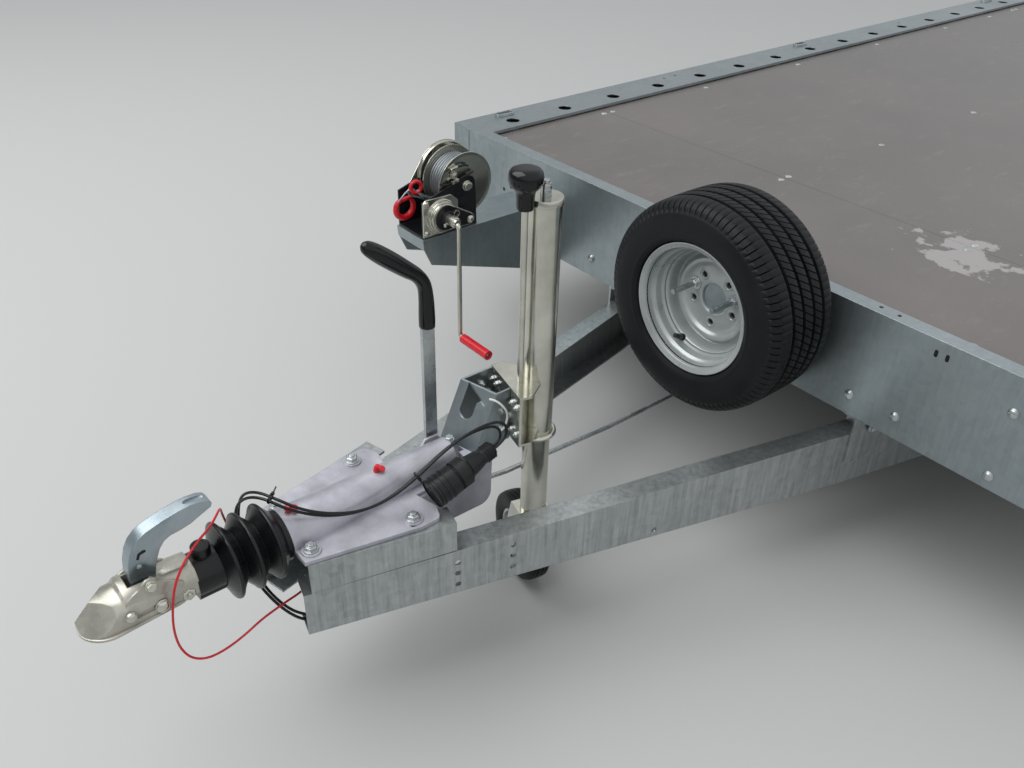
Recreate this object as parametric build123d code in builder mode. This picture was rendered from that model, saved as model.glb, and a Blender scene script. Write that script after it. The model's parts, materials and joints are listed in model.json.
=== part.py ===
from build123d import *
from math import atan, cos, degrees, hypot, pi, radians, sin, tan
import os

# A twin-axle car trailer with a flat deck. It stands on four small wheels and its jockey wheel.
# X points to the trailer's left, Y to its tail and Z up. The ground is Z = 0, and the origin is
# on the ground in the middle of the overall length and width. Lengths are in millimetres.

# Overall size
platform_length = 4500.0
platform_width = 2100.0
nose_reach = 1470.0
deck_top = 620.0
panel_height = 249.0
face_y = (nose_reach - platform_length) / 2
half_width = platform_width / 2
panel_bottom = deck_top - panel_height
seat_gap = 0.3

# Folded sheet of the frame round the deck
sheet = 3.0
front_flange = 38.0
corner_tab = 70.0
rail_flange = 130.0
rail_lip = 9.0
bottom_flange = 25.0
rail_hole = 40.0
rail_hole_inset = 84.0
rail_hole_first = 150.0
rail_hole_pitch = 204.0
rail_hole_count = int((platform_length - 2 * rail_hole_first) / rail_hole_pitch) + 1
tail_setback = 20.0
tail_y = platform_length - tail_setback

# Deck boards and what carries them
board_thickness = 15.0
board_drop = 12.0
board_side_gap = 10.0
board_joint = 1.0
board_first = 459.0
board_length = 2500.0
member_depth = 60.0
member_width = 40.0
member_wall = 3.0
rail_depth = 120.0
rail_width = 60.0
rail_wall = 4.0
rail_outer_x = 700.0
stub_half_length = rail_outer_x + 62.0

# Wheels and axles
wheel_y = {"front": 2160.0, "rear": 2780.0}
wheel_inset = 133.0
wheel_x = half_width - wheel_inset
tyre_radius = 234.0
tyre_width = 197.0
rim_flange_radius = 144.0
rim_width = 176.0
rim_barrel_radius = 124.0
rim_well_radius = 108.0
disc_depth = 80.0
disc_bore = 33.0
bolt_circle = 112.0
bolt_hole = 14.0
bolt_count = 5
drum_radius = 88.0
drum_length = 52.0
spindle_radius = 17.0
spindle_clearance = 0.05
axle_tube = 90.0
axle_rise = 95.0
arm_reach = 136.0
arm_thickness = 20.0
axle_height = tyre_radius + axle_rise
axle_half_length = wheel_x - 137.0

# Drawbar
coupling_reach = 330.0
beam_front = coupling_reach - nose_reach
beam_half_gap = 366.7
nose_half_gap = 81.0
beam_splay = (beam_half_gap - nose_half_gap) / -beam_front
beam_rear = (rail_outer_x - 10.0 - beam_half_gap) / beam_splay
beam_top_front = deck_top - 284.0
beam_top_panel = deck_top - 292.0
beam_bottom_front = deck_top - 376.0
beam_bottom_panel = deck_top - 426.0
beam_flange = 47.0
beam_wall = 4.0
riser_height = 64.0
riser_start = 14.0
riser_length = 277.0
riser_wall = 5.0

# Overrun device
hitch_z = deck_top - 208.0
shaft_radius = 25.0
housing_radius = 43.0
housing_tube_radius = 31.0
housing_length = 370.0
housing_front = beam_front + 10.0
housing_rear = housing_front + housing_length
flange_thickness = 8.0
ball_radius = 25.0
nose_radius = 42.0
skirt_width = 4.0
ball_y = nose_radius + skirt_width - nose_reach
bellows_pitch = 37.0
bellows_folds = 3

# Jockey wheel, swivelled as it was left when the trailer was set down
jockey_x = 35.0
jockey_y = housing_rear + 164.0
jockey_tube_radius = 30.0
jockey_leg_radius = 27.0
jockey_top = deck_top + 280.0
jockey_wheel_radius = 100.0
jockey_wheel_width = 50.0
jockey_wheel_lead = 47.0
jockey_swivel = -15.0
jockey_pin_radius = 8.0
running_clearance = 0.05

# Winch and its bracket
winch_bracket_width = 115.0
winch_bracket_reach = 410.0
winch_outer_x = 430.0 - half_width
winch_bracket_top = deck_top - 100.0
winch_drum_radius = 80.0
winch_drum_y = -268.0
winch_drum_z = winch_bracket_top + 108.0
winch_crank_y = -345.0
winch_crank_z = winch_bracket_top + 45.0

# Spare wheel on the front panel
spare_x = 55.0
spare_z = deck_top - 61.0
spare_disc_y = -124.0

# Loading ramps
ramp_width = 280.0
ramp_depth = 60.0
ramp_length = 1990.0
ramp_x = rail_outer_x - 220.0
ramp_z = deck_top - 135.0
ramp_guide_gap = 6.0

beam_angle = degrees(atan(beam_splay))
beam_stretch = hypot(1.0, beam_splay)
pieces = {}


def keep(builder, name):
    """Label a finished piece and put it in the list of nodes."""
    builder.part.label = name
    pieces[name] = builder.part


def at(y):
    """Y in the trailer's frame of a distance behind the front panel's face."""
    return face_y + y


def side_plane(x, y=0.0, z=0.0):
    """A sketch plane with Y to the right and Z up, facing +X."""
    return Plane(origin=(x, at(y), z), x_dir=(0, 1, 0), z_dir=(1, 0, 0))


def front_plane(y, x=0.0, z=0.0):
    """A sketch plane with X to the right and Z up, facing the nose."""
    return Plane(origin=(x, at(y), z), x_dir=(1, 0, 0), z_dir=(0, -1, 0))


def level_plane(z, x=0.0, y=0.0):
    """A sketch plane with X to the right and Y up the page, facing up."""
    return Plane(origin=(x, at(y), z))


def beam_plane(side, inset=0.0):
    """The plane of a drawbar beam's outer face: along the beam, Z up, facing outwards."""
    turn = radians(beam_angle)
    x = side * (beam_half_gap + beam_splay * beam_front)
    outward = Vector(side * cos(turn), -sin(turn), 0)
    origin = Vector(x, at(beam_front), 0) - outward * inset
    return Plane(origin=origin, x_dir=Vector(side * sin(turn), cos(turn), 0), z_dir=outward * side)


def box(x0, x1, y0, y1, z0, z1):
    """A block between two corners, Y counted from the front panel's face."""
    with BuildPart(Plane(origin=(x0, at(y0), z0))) as block:
        Box(x1 - x0, y1 - y0, z1 - z0, align=(Align.MIN, Align.MIN, Align.MIN))
    return block.part

# Front panel: a folded sheet with a top flange that covers the boards' front edge
with BuildPart() as front_panel:
    add(box(-half_width + corner_tab + seat_gap, half_width - corner_tab - seat_gap,
            0, sheet, panel_bottom, deck_top))
    add(box(-half_width + sheet + seat_gap, half_width - sheet - seat_gap,
            0, front_flange, deck_top - sheet, deck_top))
    add(box(-half_width + corner_tab + seat_gap, half_width - corner_tab - seat_gap,
            0, bottom_flange, panel_bottom, panel_bottom + sheet))
    add(box(-half_width + rail_flange, half_width - rail_flange,
            front_flange - sheet, front_flange, deck_top - board_drop + seat_gap, deck_top))
keep(front_panel, "front_panel")

# Side rails: a deep web with a wide top flange, its inner lip, and a bottom flange
for name, side in (("left", 1), ("right", -1)):
    with BuildPart() as side_rail:
        with BuildSketch(front_plane(0)) as web:
            with Locations((side * half_width, panel_bottom)):
                Rectangle(sheet, panel_height,
                          align=(Align.MAX if side > 0 else Align.MIN, Align.MIN))
        extrude(amount=-platform_length)
        with BuildSketch(front_plane(front_flange + seat_gap)) as flange:
            with Locations((side * half_width, deck_top)):
                Rectangle(rail_flange, sheet,
                          align=(Align.MAX if side > 0 else Align.MIN, Align.MAX))
            with Locations((side * (half_width - rail_flange), deck_top)):
                Rectangle(sheet, rail_lip,
                          align=(Align.MIN if side > 0 else Align.MAX, Align.MAX))
            with Locations((side * half_width, panel_bottom)):
                Rectangle(bottom_flange, sheet,
                          align=(Align.MAX if side > 0 else Align.MIN, Align.MIN))
        extrude(amount=-(platform_length - front_flange - seat_gap))
        with BuildSketch(front_plane(0)) as tab:
            with Locations((side * half_width, panel_bottom)):
                Rectangle(corner_tab, panel_height - sheet - seat_gap,
                          align=(Align.MAX if side > 0 else Align.MIN, Align.MIN))
        extrude(amount=-sheet)
        with BuildSketch(level_plane(deck_top)) as holes:
            for step in range(rail_hole_count):
                with Locations((side * (half_width - rail_hole_inset),
                                rail_hole_first + step * rail_hole_pitch)):
                    Circle(rail_hole / 2)
        extrude(amount=-2 * sheet, mode=Mode.SUBTRACT)
    keep(side_rail, f"side_rail_{name}")
# Rear panel between the side rails, with openings for the lamps and the ramps
lamp_x = half_width - 240.0
lamp_width = 300.0
lamp_height = 100.0
lamp_z = deck_top - 130.0
lamp_depth = 45.0
with BuildPart() as rear_panel:
    add(box(-half_width + sheet + seat_gap, half_width - sheet - seat_gap, tail_y - sheet, tail_y,
            panel_bottom + sheet + seat_gap, deck_top - rail_lip - seat_gap))
    add(box(-half_width + rail_flange + seat_gap, half_width - rail_flange - seat_gap,
            tail_y - front_flange, tail_y, deck_top - sheet, deck_top))
    add(box(-half_width + rail_flange + seat_gap, half_width - rail_flange - seat_gap,
            tail_y - sheet, tail_y, deck_top - 2 * rail_lip, deck_top))
    add(box(-half_width + bottom_flange + seat_gap, half_width - bottom_flange - seat_gap,
            tail_y - bottom_flange, tail_y, panel_bottom, panel_bottom + sheet))
    add(box(-half_width + bottom_flange + seat_gap, half_width - bottom_flange - seat_gap,
            tail_y - sheet, tail_y, panel_bottom, panel_bottom + 2 * sheet))
    with BuildSketch(front_plane(tail_y)) as openings:
        with Locations((-lamp_x, lamp_z), (lamp_x, lamp_z)):
            Rectangle(lamp_width + 2 * seat_gap, lamp_height + 2 * seat_gap)
        with Locations((-ramp_x, ramp_z), (ramp_x, ramp_z)):
            Rectangle(ramp_width + 30, ramp_depth + 26)
    extrude(amount=2 * sheet, mode=Mode.SUBTRACT)
keep(rear_panel, "rear_panel")

# Two long C-section rails under the cross members
member_top = deck_top - board_drop - board_thickness
member_bottom = member_top - member_depth
for name, side in (("left", 1), ("right", -1)):
    with BuildPart() as main_rail:
        with BuildSketch(front_plane(member_width + 20)) as section:
            with Locations((side * (rail_outer_x - rail_width / 2), member_bottom - rail_depth / 2)):
                Rectangle(rail_width, rail_depth)
            with Locations((side * (rail_outer_x - rail_width / 2 - rail_wall),
                            member_bottom - rail_depth / 2)):
                Rectangle(rail_width, rail_depth - 2 * rail_wall, mode=Mode.SUBTRACT)
        extrude(amount=-(tail_y - 2 * member_width - 40))
    keep(main_rail, f"main_rail_{name}")
# Cross members: C sections under the boards, short ones over the wheels. A member carries
# each joint of the boards. Each row is: place along the deck, half length.
board_joints = [board_first + step * board_length
                for step in range(int((tail_y - board_first - member_width) / board_length) + 1)]
full_half_length = half_width - sheet - seat_gap
first_member = 61.0
last_member = tail_y - 65.0
tail_spaces = 4
tail_pitch = (last_member - board_joints[-1]) / tail_spaces
member_rows = [(first_member, full_half_length), (board_first, full_half_length),
               (907.0, full_half_length), (1400.0, full_half_length),
               (wheel_y["front"] - 263.0, full_half_length),
               (wheel_y["front"] + 212.0, stub_half_length),
               (wheel_y["rear"] - 44.0, stub_half_length), (board_joints[-1], stub_half_length)]
for space in range(1, tail_spaces + 1):
    member_rows.append((board_joints[-1] + space * tail_pitch, full_half_length))
with BuildPart() as cross_members:
    for place, half_length in member_rows:
        with BuildSketch(side_plane(-half_length)) as section:
            with Locations((place, member_top - member_depth / 2)):
                Rectangle(member_width, member_depth)
            with Locations((place + member_wall, member_top - member_depth / 2)):
                Rectangle(member_width, member_depth - 2 * member_wall, mode=Mode.SUBTRACT)
        extrude(amount=2 * half_length)
keep(cross_members, "cross_members")

# Deck boards, with a hairline joint between them
board_edges = (sheet + seat_gap, *board_joints, tail_y - sheet - seat_gap)
with BuildPart() as deck_boards:
    for start, end in zip(board_edges, board_edges[1:]):
        add(box(-half_width + board_side_gap, half_width - board_side_gap, start + board_joint / 2,
                end - board_joint / 2, member_top, member_top + board_thickness))
keep(deck_boards, "deck_boards")
# Drawbar beams: C sections open inwards, deeper at the panel than at the nose
panel_run = -beam_front * beam_stretch
beam_run = (beam_rear - beam_front) * beam_stretch


def beam_outline(trim=0.0):
    """Side view of a beam, along the beam and up, less a wall at top and bottom."""
    return [(0, beam_bottom_front + trim), (panel_run, beam_bottom_panel + trim),
            (beam_run, beam_bottom_panel + trim), (beam_run, beam_top_panel - trim),
            (panel_run, beam_top_panel - trim), (0, beam_top_front - trim)]


riser_bottom = beam_top_front + seat_gap
riser_top = riser_bottom + riser_height
beam_hole = 12.0
# Each row is: distance along the beam, height of the hole over the beam's foot at the panel
beam_holes = ((278.0, 111.7), (278.0, 86.0), (278.0, 58.0), (388.0, 113.6), (388.0, 87.5),
              (388.0, 59.6), (699.0, 37.0))
for name, side in (("left", 1), ("right", -1)):
    with BuildPart() as beam:
        with BuildSketch(beam_plane(side)) as web:
            with BuildLine():
                Polyline(*beam_outline(), close=True)
            make_face()
        extrude(amount=-side * beam_flange)
        with BuildSketch(beam_plane(side, beam_wall)) as hollow:
            with BuildLine():
                Polyline(*[(run - 5 if run == 0 else run + (5 if run == beam_run else 0), z)
                           for run, z in beam_outline(beam_wall)], close=True)
            make_face()
        extrude(amount=-side * beam_flange, mode=Mode.SUBTRACT)
        with BuildSketch(beam_plane(side)) as holes:
            with Locations(*[(run, beam_bottom_panel + rise) for run, rise in beam_holes]):
                Circle(beam_hole / 2)
        extrude(amount=-side * 2 * beam_wall, mode=Mode.SUBTRACT)
        # A folded channel on the beam lifts the overrun device
        with BuildSketch(beam_plane(side)) as riser:
            with BuildLine():
                Polyline((riser_start, riser_bottom), (riser_length, riser_bottom),
                         (riser_length, riser_top), (riser_start, riser_top), close=True)
            make_face()
        extrude(amount=-side * beam_flange)
        with BuildSketch(beam_plane(side, riser_wall)) as riser_hollow:
            with BuildLine():
                Polyline((riser_start - 5, riser_bottom + riser_wall),
                         (riser_length + 5, riser_bottom + riser_wall),
                         (riser_length + 5, riser_top - riser_wall),
                         (riser_start - 5, riser_top - riser_wall), close=True)
            make_face()
        extrude(amount=-side * beam_flange, mode=Mode.SUBTRACT)
    keep(beam, f"drawbar_beam_{name}")

# Brackets that join each beam to the front panel and to the main rail
bracket_wall = 6.0
front_bracket_length = 120.0
rear_bracket_length = 140.0
rear_bracket_start = beam_run - 160.0
member_rail_bottom = member_bottom - rail_depth
panel_end = panel_run + front_bracket_length
rear_bracket_end = rear_bracket_start + rear_bracket_length
bracket_top = panel_bottom - seat_gap
rear_bracket_top = member_rail_bottom - seat_gap
bracket_foot = beam_top_panel + seat_gap
with BuildPart() as drawbar_brackets:
    for side in (1, -1):
        with BuildSketch(beam_plane(side, -bracket_wall - seat_gap)) as cheek:
            with BuildLine():
                Polyline((panel_run, beam_bottom_panel + 60), (panel_end, beam_bottom_panel + 60),
                         (panel_end, bracket_top), (panel_run, bracket_top), close=True)
            make_face()
        extrude(amount=-side * bracket_wall)
        with BuildSketch(beam_plane(side, -bracket_wall - seat_gap)) as shelf:
            with BuildLine():
                Polyline((panel_run, bracket_top - bracket_wall),
                         (panel_end, bracket_top - bracket_wall), (panel_end, bracket_top),
                         (panel_run, bracket_top), close=True)
            make_face()
        extrude(amount=-side * (beam_flange + bracket_wall))
        with BuildSketch(beam_plane(side)) as foot:
            with BuildLine():
                Polyline((panel_run + 30, bracket_foot),
                         (panel_run + 30 + bracket_wall, bracket_foot),
                         (panel_run + 30 + bracket_wall, bracket_top - bracket_wall),
                         (panel_run + 30, bracket_top - bracket_wall), close=True)
            make_face()
        extrude(amount=-side * beam_flange)
        with BuildSketch(beam_plane(side)) as block:
            with BuildLine():
                Polyline((rear_bracket_start, bracket_foot), (rear_bracket_end, bracket_foot),
                         (rear_bracket_end, rear_bracket_top),
                         (rear_bracket_start, rear_bracket_top), close=True)
            make_face()
        extrude(amount=-side * beam_flange)
        with BuildSketch(beam_plane(side, bracket_wall)) as hollow:
            with BuildLine():
                Polyline((rear_bracket_start - 5, beam_top_panel + bracket_wall),
                         (rear_bracket_end + 5, beam_top_panel + bracket_wall),
                         (rear_bracket_end + 5, rear_bracket_top - bracket_wall),
                         (rear_bracket_start - 5, rear_bracket_top - bracket_wall), close=True)
            make_face()
        extrude(amount=-side * beam_flange, mode=Mode.SUBTRACT)
keep(drawbar_brackets, "drawbar_brackets")
# Overrun housing: a casting whose hump covers the sliding shaft, with flat wings on the risers
wing_bottom = riser_top + seat_gap
wing_top = wing_bottom + flange_thickness
housing_bore = shaft_radius + running_clearance
hump_top = hitch_z + housing_radius
boss_radius = 17.0
boss_height = 3.0
spine_half = 48.0
# Each row is: place behind the housing's front, half width of the hump where it meets the wings
hump_length = housing_length - 24.0
hump_sections = ((0.0, 50.0), (230.0, 33.0), (hump_length, 22.0))
housing_bolts = ((63.0, 22.0), (102.0, 199.0))
cheek_thickness = 6.0
cheek_outer_x = 55.0
cheek_top = 18.0
bracket_seat = 8.0
with BuildPart() as overrun_housing:
    with BuildSketch(level_plane(wing_bottom, 0, housing_front)) as wings:
        with BuildLine():
            Polyline((-82, 0), (82, 0), (126, 200), (126, 240), (96, 252), (spine_half, 240),
                     (spine_half, housing_length), (-spine_half, housing_length),
                     (-spine_half, 240), (-96, 252), (-126, 240), (-126, 200), close=True)
        make_face()
        fillet(wings.vertices().filter_by(lambda v: abs(v.X) > 100), 14)
    extrude(amount=flange_thickness)
    for place, half in hump_sections:
        with BuildSketch(front_plane(housing_front + place)) as hump:
            with BuildLine():
                ThreePointArc((-half, wing_top - 1), (0, hump_top), (half, wing_top - 1))
                Polyline((half, wing_top - 1), (half, wing_bottom), (-half, wing_bottom),
                         (-half, wing_top - 1))
            make_face()
    loft()
    with BuildSketch(front_plane(housing_front, 0, hitch_z)) as tube:
        Circle(housing_tube_radius)
    extrude(amount=-hump_length)
    with BuildSketch(level_plane(wing_top, 0, housing_front)) as bosses:
        for side in (1, -1):
            for bolt_x, bolt_y in housing_bolts:
                with Locations((side * bolt_x, bolt_y)):
                    Circle(boss_radius)
    extrude(amount=boss_height)
    # Cheeks that hold the brake lever's pivot. Their points are counted from the housing's rear
    # end and the shaft's height.
    for side in (1, -1):
        inner = side * cheek_outer_x - (cheek_thickness if side > 0 else 0)
        with BuildSketch(side_plane(inner, housing_rear, hitch_z)) as cheek:
            with BuildLine():
                Polyline((-145, -10), (-145, -67), (-102, -97), (36, -99), (39, cheek_top),
                         (-40, cheek_top), (-62, -10), close=True)
            make_face()
            fillet(cheek.vertices().sort_by(Axis.Y)[:2], 25)
        extrude(amount=cheek_thickness)
        add(box(min(side * 30, side * 50), max(side * 30, side * 50), housing_rear - 135,
                housing_rear, wing_bottom, wing_top))
    # Seat of the jockey bracket between the cheeks
    add(box(-cheek_outer_x + 1, cheek_outer_x - 1, housing_rear - 12, housing_rear + 39,
            hitch_z + cheek_top - bracket_seat, hitch_z + cheek_top))
    with BuildSketch(front_plane(housing_front, 0, hitch_z)) as bore:
        Circle(housing_bore)
    extrude(amount=-housing_length, mode=Mode.SUBTRACT)
keep(overrun_housing, "overrun_housing")

# Rubber bellows over the front of the sliding shaft
bellows_outer = 68.0
bellows_neck = 46.0
bellows_rear = housing_front - seat_gap
bellows_first_crest = housing_front - 27.0 - (bellows_folds - 1) * bellows_pitch
bellows_cuff = bellows_first_crest - 15.0
bellows_front = bellows_cuff - 44.0
crest_half = 4.0
cuff_radius = 37.0
cap_radius = 14.0
cap_y = bellows_cuff - 20.0
cap_top = hitch_z + 53.0
shaft_front = bellows_front - 10.0
with BuildPart() as overrun_shaft:
    with BuildSketch(front_plane(shaft_front, 0, hitch_z)) as section:
        Circle(shaft_radius)
    extrude(amount=-(housing_front + hump_length - 2.0 - shaft_front))
keep(overrun_shaft, "overrun_shaft")

with BuildPart() as bellows:
    with BuildSketch(side_plane(0, 0, hitch_z)) as profile:
        with BuildLine():
            Polyline((bellows_rear, bellows_neck), (bellows_rear, shaft_radius + seat_gap),
                     (bellows_front, shaft_radius + seat_gap), (bellows_front, cuff_radius),
                     (bellows_cuff, cuff_radius))
            for fold in range(bellows_folds):
                crest = bellows_first_crest + fold * bellows_pitch
                last_neck = bellows_cuff if fold == 0 else crest - bellows_pitch / 2
                next_neck = crest + bellows_pitch / 2
                start = cuff_radius if fold == 0 else bellows_neck
                Line((last_neck, start), (crest - crest_half, bellows_outer - crest_half))
                ThreePointArc((crest - crest_half, bellows_outer - crest_half),
                              (crest, bellows_outer),
                              (crest + crest_half, bellows_outer - crest_half))
                Line((crest + crest_half, bellows_outer - crest_half), (next_neck, bellows_neck))
            Line((next_neck, bellows_neck), (bellows_rear, bellows_neck))
        make_face()
    revolve(axis=Axis((0, at(0), hitch_z), (0, 1, 0)))
    with BuildSketch(level_plane(hitch_z + cuff_radius - 8, 0, cap_y)) as cap:
        Circle(cap_radius)
    extrude(amount=cap_top - hitch_z - cuff_radius + 8)
    with BuildSketch(front_plane(bellows_front, 0, hitch_z)) as cuff:
        with Locations((0, -11)):
            RectangleRounded(60, 44, 8)
        Circle(shaft_radius + seat_gap, mode=Mode.SUBTRACT)
    extrude(amount=-(bellows_cuff - bellows_front))
keep(bellows, "bellows")

# Ball coupling head: a pressed body with a socket for the ball under its nose, two ears that
# carry the hand lever, and a round neck over the shaft
head_bottom = hitch_z - 22.0
head_top = hitch_z + 71.0
head_rear = bellows_front - seat_gap
socket_z = hitch_z + 5.0
crown_radius = 24.0
neck_radius = 36.0
ear_outer = 30.0
ear_inner = 17.0
ear_radius = 14.0
slot_floor = hitch_z + 37.0
lever_pivot_y = ball_y + 62.0
lever_pivot_z = hitch_z + 63.0
with BuildPart() as coupling_head:
    with BuildSketch(level_plane(head_bottom)) as low_plan:
        with Locations((0, ball_y)):
            Circle(nose_radius)
        with Locations((0, head_rear - 35)):
            Circle(32)
        make_hull()
    with BuildSketch(level_plane(head_top)) as high_plan:
        with Locations((0, ball_y + 8)):
            Circle(crown_radius)
        with Locations((0, head_rear - 80)):
            Circle(22)
        make_hull()
    loft(ruled=True)
    fillet(coupling_head.edges().group_by(Axis.Z)[-1], 7)
    with BuildSketch(level_plane(head_bottom)) as skirt:
        with Locations((0, ball_y)):
            Circle(nose_radius + skirt_width)
        with Locations((0, head_rear - 45)):
            Circle(36)
        make_hull()
    extrude(amount=5)
    with BuildSketch(front_plane(head_rear, 0, hitch_z)) as neck:
        Circle(neck_radius)
    extrude(amount=70)
    with BuildSketch(side_plane(-ear_outer, lever_pivot_y, lever_pivot_z)) as ears:
        Circle(ear_radius)
        with Locations((-34, -42), (30, -50)):
            Circle(ear_radius)
        make_hull()
    extrude(amount=2 * ear_outer)
    with BuildSketch(side_plane(-ear_inner)) as slot:
        with BuildLine():
            Polyline((ball_y + 32, head_top + 22), (ball_y + 32, slot_floor),
                     (shaft_front, slot_floor), (shaft_front, head_top + 22), close=True)
        make_face()
    extrude(amount=2 * ear_inner, mode=Mode.SUBTRACT)
    with BuildSketch(level_plane(head_bottom)) as mouth:
        with Locations((0, ball_y)):
            Circle(ball_radius + 1)
    extrude(amount=socket_z - head_bottom, mode=Mode.SUBTRACT)
    with BuildSketch(side_plane(0, ball_y, socket_z)) as dome:
        with BuildLine():
            CenterArc((0, 0), ball_radius + 1, -90, 180)
            Line((0, ball_radius + 1), (0, -ball_radius - 1))
        make_face()
    revolve(axis=Axis((0, at(ball_y), socket_z), (0, 0, 1)), mode=Mode.SUBTRACT)
    with BuildSketch(front_plane(head_rear, 0, hitch_z)) as bore:
        Circle(shaft_radius + running_clearance)
    extrude(amount=head_rear - shaft_front + seat_gap, mode=Mode.SUBTRACT)
keep(coupling_head, "coupling_head")

# Hand lever of the coupling: it stands between the ears and curves back over the shaft. Its
# points are counted from its pivot.
handle_half = 13.0
handle_foot = slot_floor + seat_gap - lever_pivot_z
with BuildPart() as coupling_handle:
    with BuildSketch(side_plane(-handle_half, lever_pivot_y, lever_pivot_z)) as outline:
        with BuildLine():
            Polyline((-20, handle_foot), (12, handle_foot), (18, 6), (32, 22), (96, 51), (126, 62),
                     (124, 88), (108, 97), (78, 88), (8, 63), (-16, 36), (-25, 6), close=True)
        make_face()
        fillet(outline.vertices().sort_by(Axis.Z)[2:], 6)
    extrude(amount=2 * handle_half)
    fillet(coupling_handle.faces().filter_by(Axis.X).edges(), 4)
keep(coupling_handle, "coupling_handle")

# Parking brake lever beside the housing, on a spacer, with its moulded grip. Its points are
# counted from the housing's rear end and the shaft's height.
lever_offset = 6.0
lever_thickness = 8.0
lever_width = 26.0
lever_pivot = (-17.0, -32.0)
lever_top = 254.0
lever_x = -cheek_outer_x - lever_offset - lever_thickness
with BuildPart() as handbrake_lever:
    with BuildSketch(side_plane(lever_x, housing_rear, hitch_z)) as bar:
        with Locations((lever_pivot[0], (lever_pivot[1] + lever_top) / 2)):
            Rectangle(lever_width, lever_top - lever_pivot[1])
        with Locations(lever_pivot):
            Circle(lever_width / 2)
    extrude(amount=lever_thickness)
    with BuildSketch(side_plane(lever_x, housing_rear, hitch_z)) as spacer:
        with Locations(lever_pivot):
            Circle(lever_width / 2 - 3)
    extrude(amount=lever_thickness + lever_offset - seat_gap)
keep(handbrake_lever, "handbrake_lever")

grip_radius = 15.0
grip_bend = 50.0
grip_points = ((lever_pivot[0], lever_top + seat_gap), (lever_pivot[0], lever_top + 79),
               (lever_pivot[0] - 110, lever_top + 184))
with BuildPart() as handbrake_grip:
    with BuildLine(side_plane(lever_x + lever_thickness / 2, housing_rear, hitch_z)) as path:
        FilletPolyline(*grip_points, radius=grip_bend)
    with BuildSketch(Plane(origin=path.line @ 0, z_dir=path.line % 0)) as section:
        Circle(grip_radius)
    sweep()
keep(handbrake_grip, "handbrake_grip")

# Brake rod from the lever's cross pin to the equaliser at the front axle
rod_x = -6.0
rod_radius = 5.0
rod_pin_z = hitch_z - 90.0
rod_z = hitch_z - 126.5
equaliser_y = wheel_y["front"] - arm_reach - axle_tube / 2 - seat_gap
rod_points = ((housing_rear, rod_pin_z), (housing_rear + 120, rod_z + 17.5),
              (housing_rear + 410, rod_z), (equaliser_y - 35, rod_z))
with BuildPart() as brake_rod:
    with BuildLine(side_plane(rod_x)) as path:
        Polyline(*rod_points)
    with BuildSketch(Plane(origin=path.line @ 0, z_dir=path.line % 0)) as section:
        Circle(rod_radius)
    sweep(transition=Transition.RIGHT)
    with BuildSketch(side_plane(-cheek_outer_x + cheek_thickness + seat_gap, housing_rear,
                                rod_pin_z)) as pin:
        Circle(7)
    extrude(amount=2 * (cheek_outer_x - cheek_thickness - seat_gap))
    add(box(rod_x - 90, rod_x + 90, equaliser_y - 39, equaliser_y, rod_z - 12, rod_z + 12))
keep(brake_rod, "brake_rod")

# Jockey wheel: a clamp on a folded bracket holds the outer tube, and the leg slides in it
jockey_turn = radians(beam_angle)
jockey_u = Vector(cos(jockey_turn), -sin(jockey_turn), 0)
jockey_axis = Axis((jockey_x, at(jockey_y), 0), (0, 0, 1))


def jockey_plane(z):
    """A level plane at the tube's axis, turned with the near beam. Y of the plane points back."""
    return Plane(origin=(jockey_x, at(jockey_y), z), x_dir=jockey_u, z_dir=(0, 0, 1))


def jockey_side(u):
    """An upright plane along the bracket's side, its X towards the tail and its Y up."""
    origin = Vector(jockey_x, at(jockey_y), 0) + jockey_u * u
    return Plane(origin=origin, x_dir=(sin(jockey_turn), cos(jockey_turn), 0), z_dir=jockey_u)


clamp_back = 69.0
clamp_wall = 5.0
clamp_half = 64.0
clamp_top = hitch_z + 133.0
clamp_bottom = hitch_z + 23.0
tube_fit = jockey_tube_radius + seat_gap
with BuildPart() as jockey_clamp:
    for plate_z in (clamp_bottom, clamp_top - clamp_wall):
        with BuildSketch(jockey_plane(plate_z)) as plate:
            with BuildLine():
                Polyline((-clamp_half, -clamp_back), (clamp_half, -clamp_back),
                         (clamp_half + 2, -45), (32, -11), (-32, -11), (-clamp_half - 2, -45),
                         close=True)
            make_face()
            Circle(tube_fit, mode=Mode.SUBTRACT)
        extrude(amount=clamp_wall)
    with BuildSketch(jockey_side(-clamp_half)) as back_plate:
        with Locations((-clamp_back, (clamp_top + clamp_bottom) / 2)):
            Rectangle(clamp_wall, clamp_top - clamp_bottom, align=(Align.MIN, Align.CENTER))
    extrude(amount=2 * clamp_half)
keep(jockey_clamp, "jockey_clamp")

# The bracket is a folded channel whose front leans back, with its back edges on the clamp and
# its foot over the housing's cheeks
bracket_half = 41.0
bracket_wall_thickness = 4.0
bracket_foot_z = hitch_z + cheek_top + seat_gap
bracket_top_z = clamp_top - 2.0
bracket_lean = 0.435
bracket_skew = 0.25
bracket_front_y = housing_rear - 0.5


def bracket_plan(z, trim):
    """Plan of the bracket at a height, less a wall at its front and sides."""
    half = bracket_half - trim
    middle = bracket_front_y + bracket_lean * (z - bracket_foot_z) + trim
    back_middle = jockey_y - (clamp_back + seat_gap) / cos(jockey_turn)
    slope = tan(jockey_turn)
    reach = 5.0 if trim else 0.0
    return [(-half, middle - bracket_skew * half), (half, middle + bracket_skew * half),
            (half, back_middle - slope * (half - jockey_x) + reach),
            (-half, back_middle + slope * (half + jockey_x) + reach)]


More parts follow.
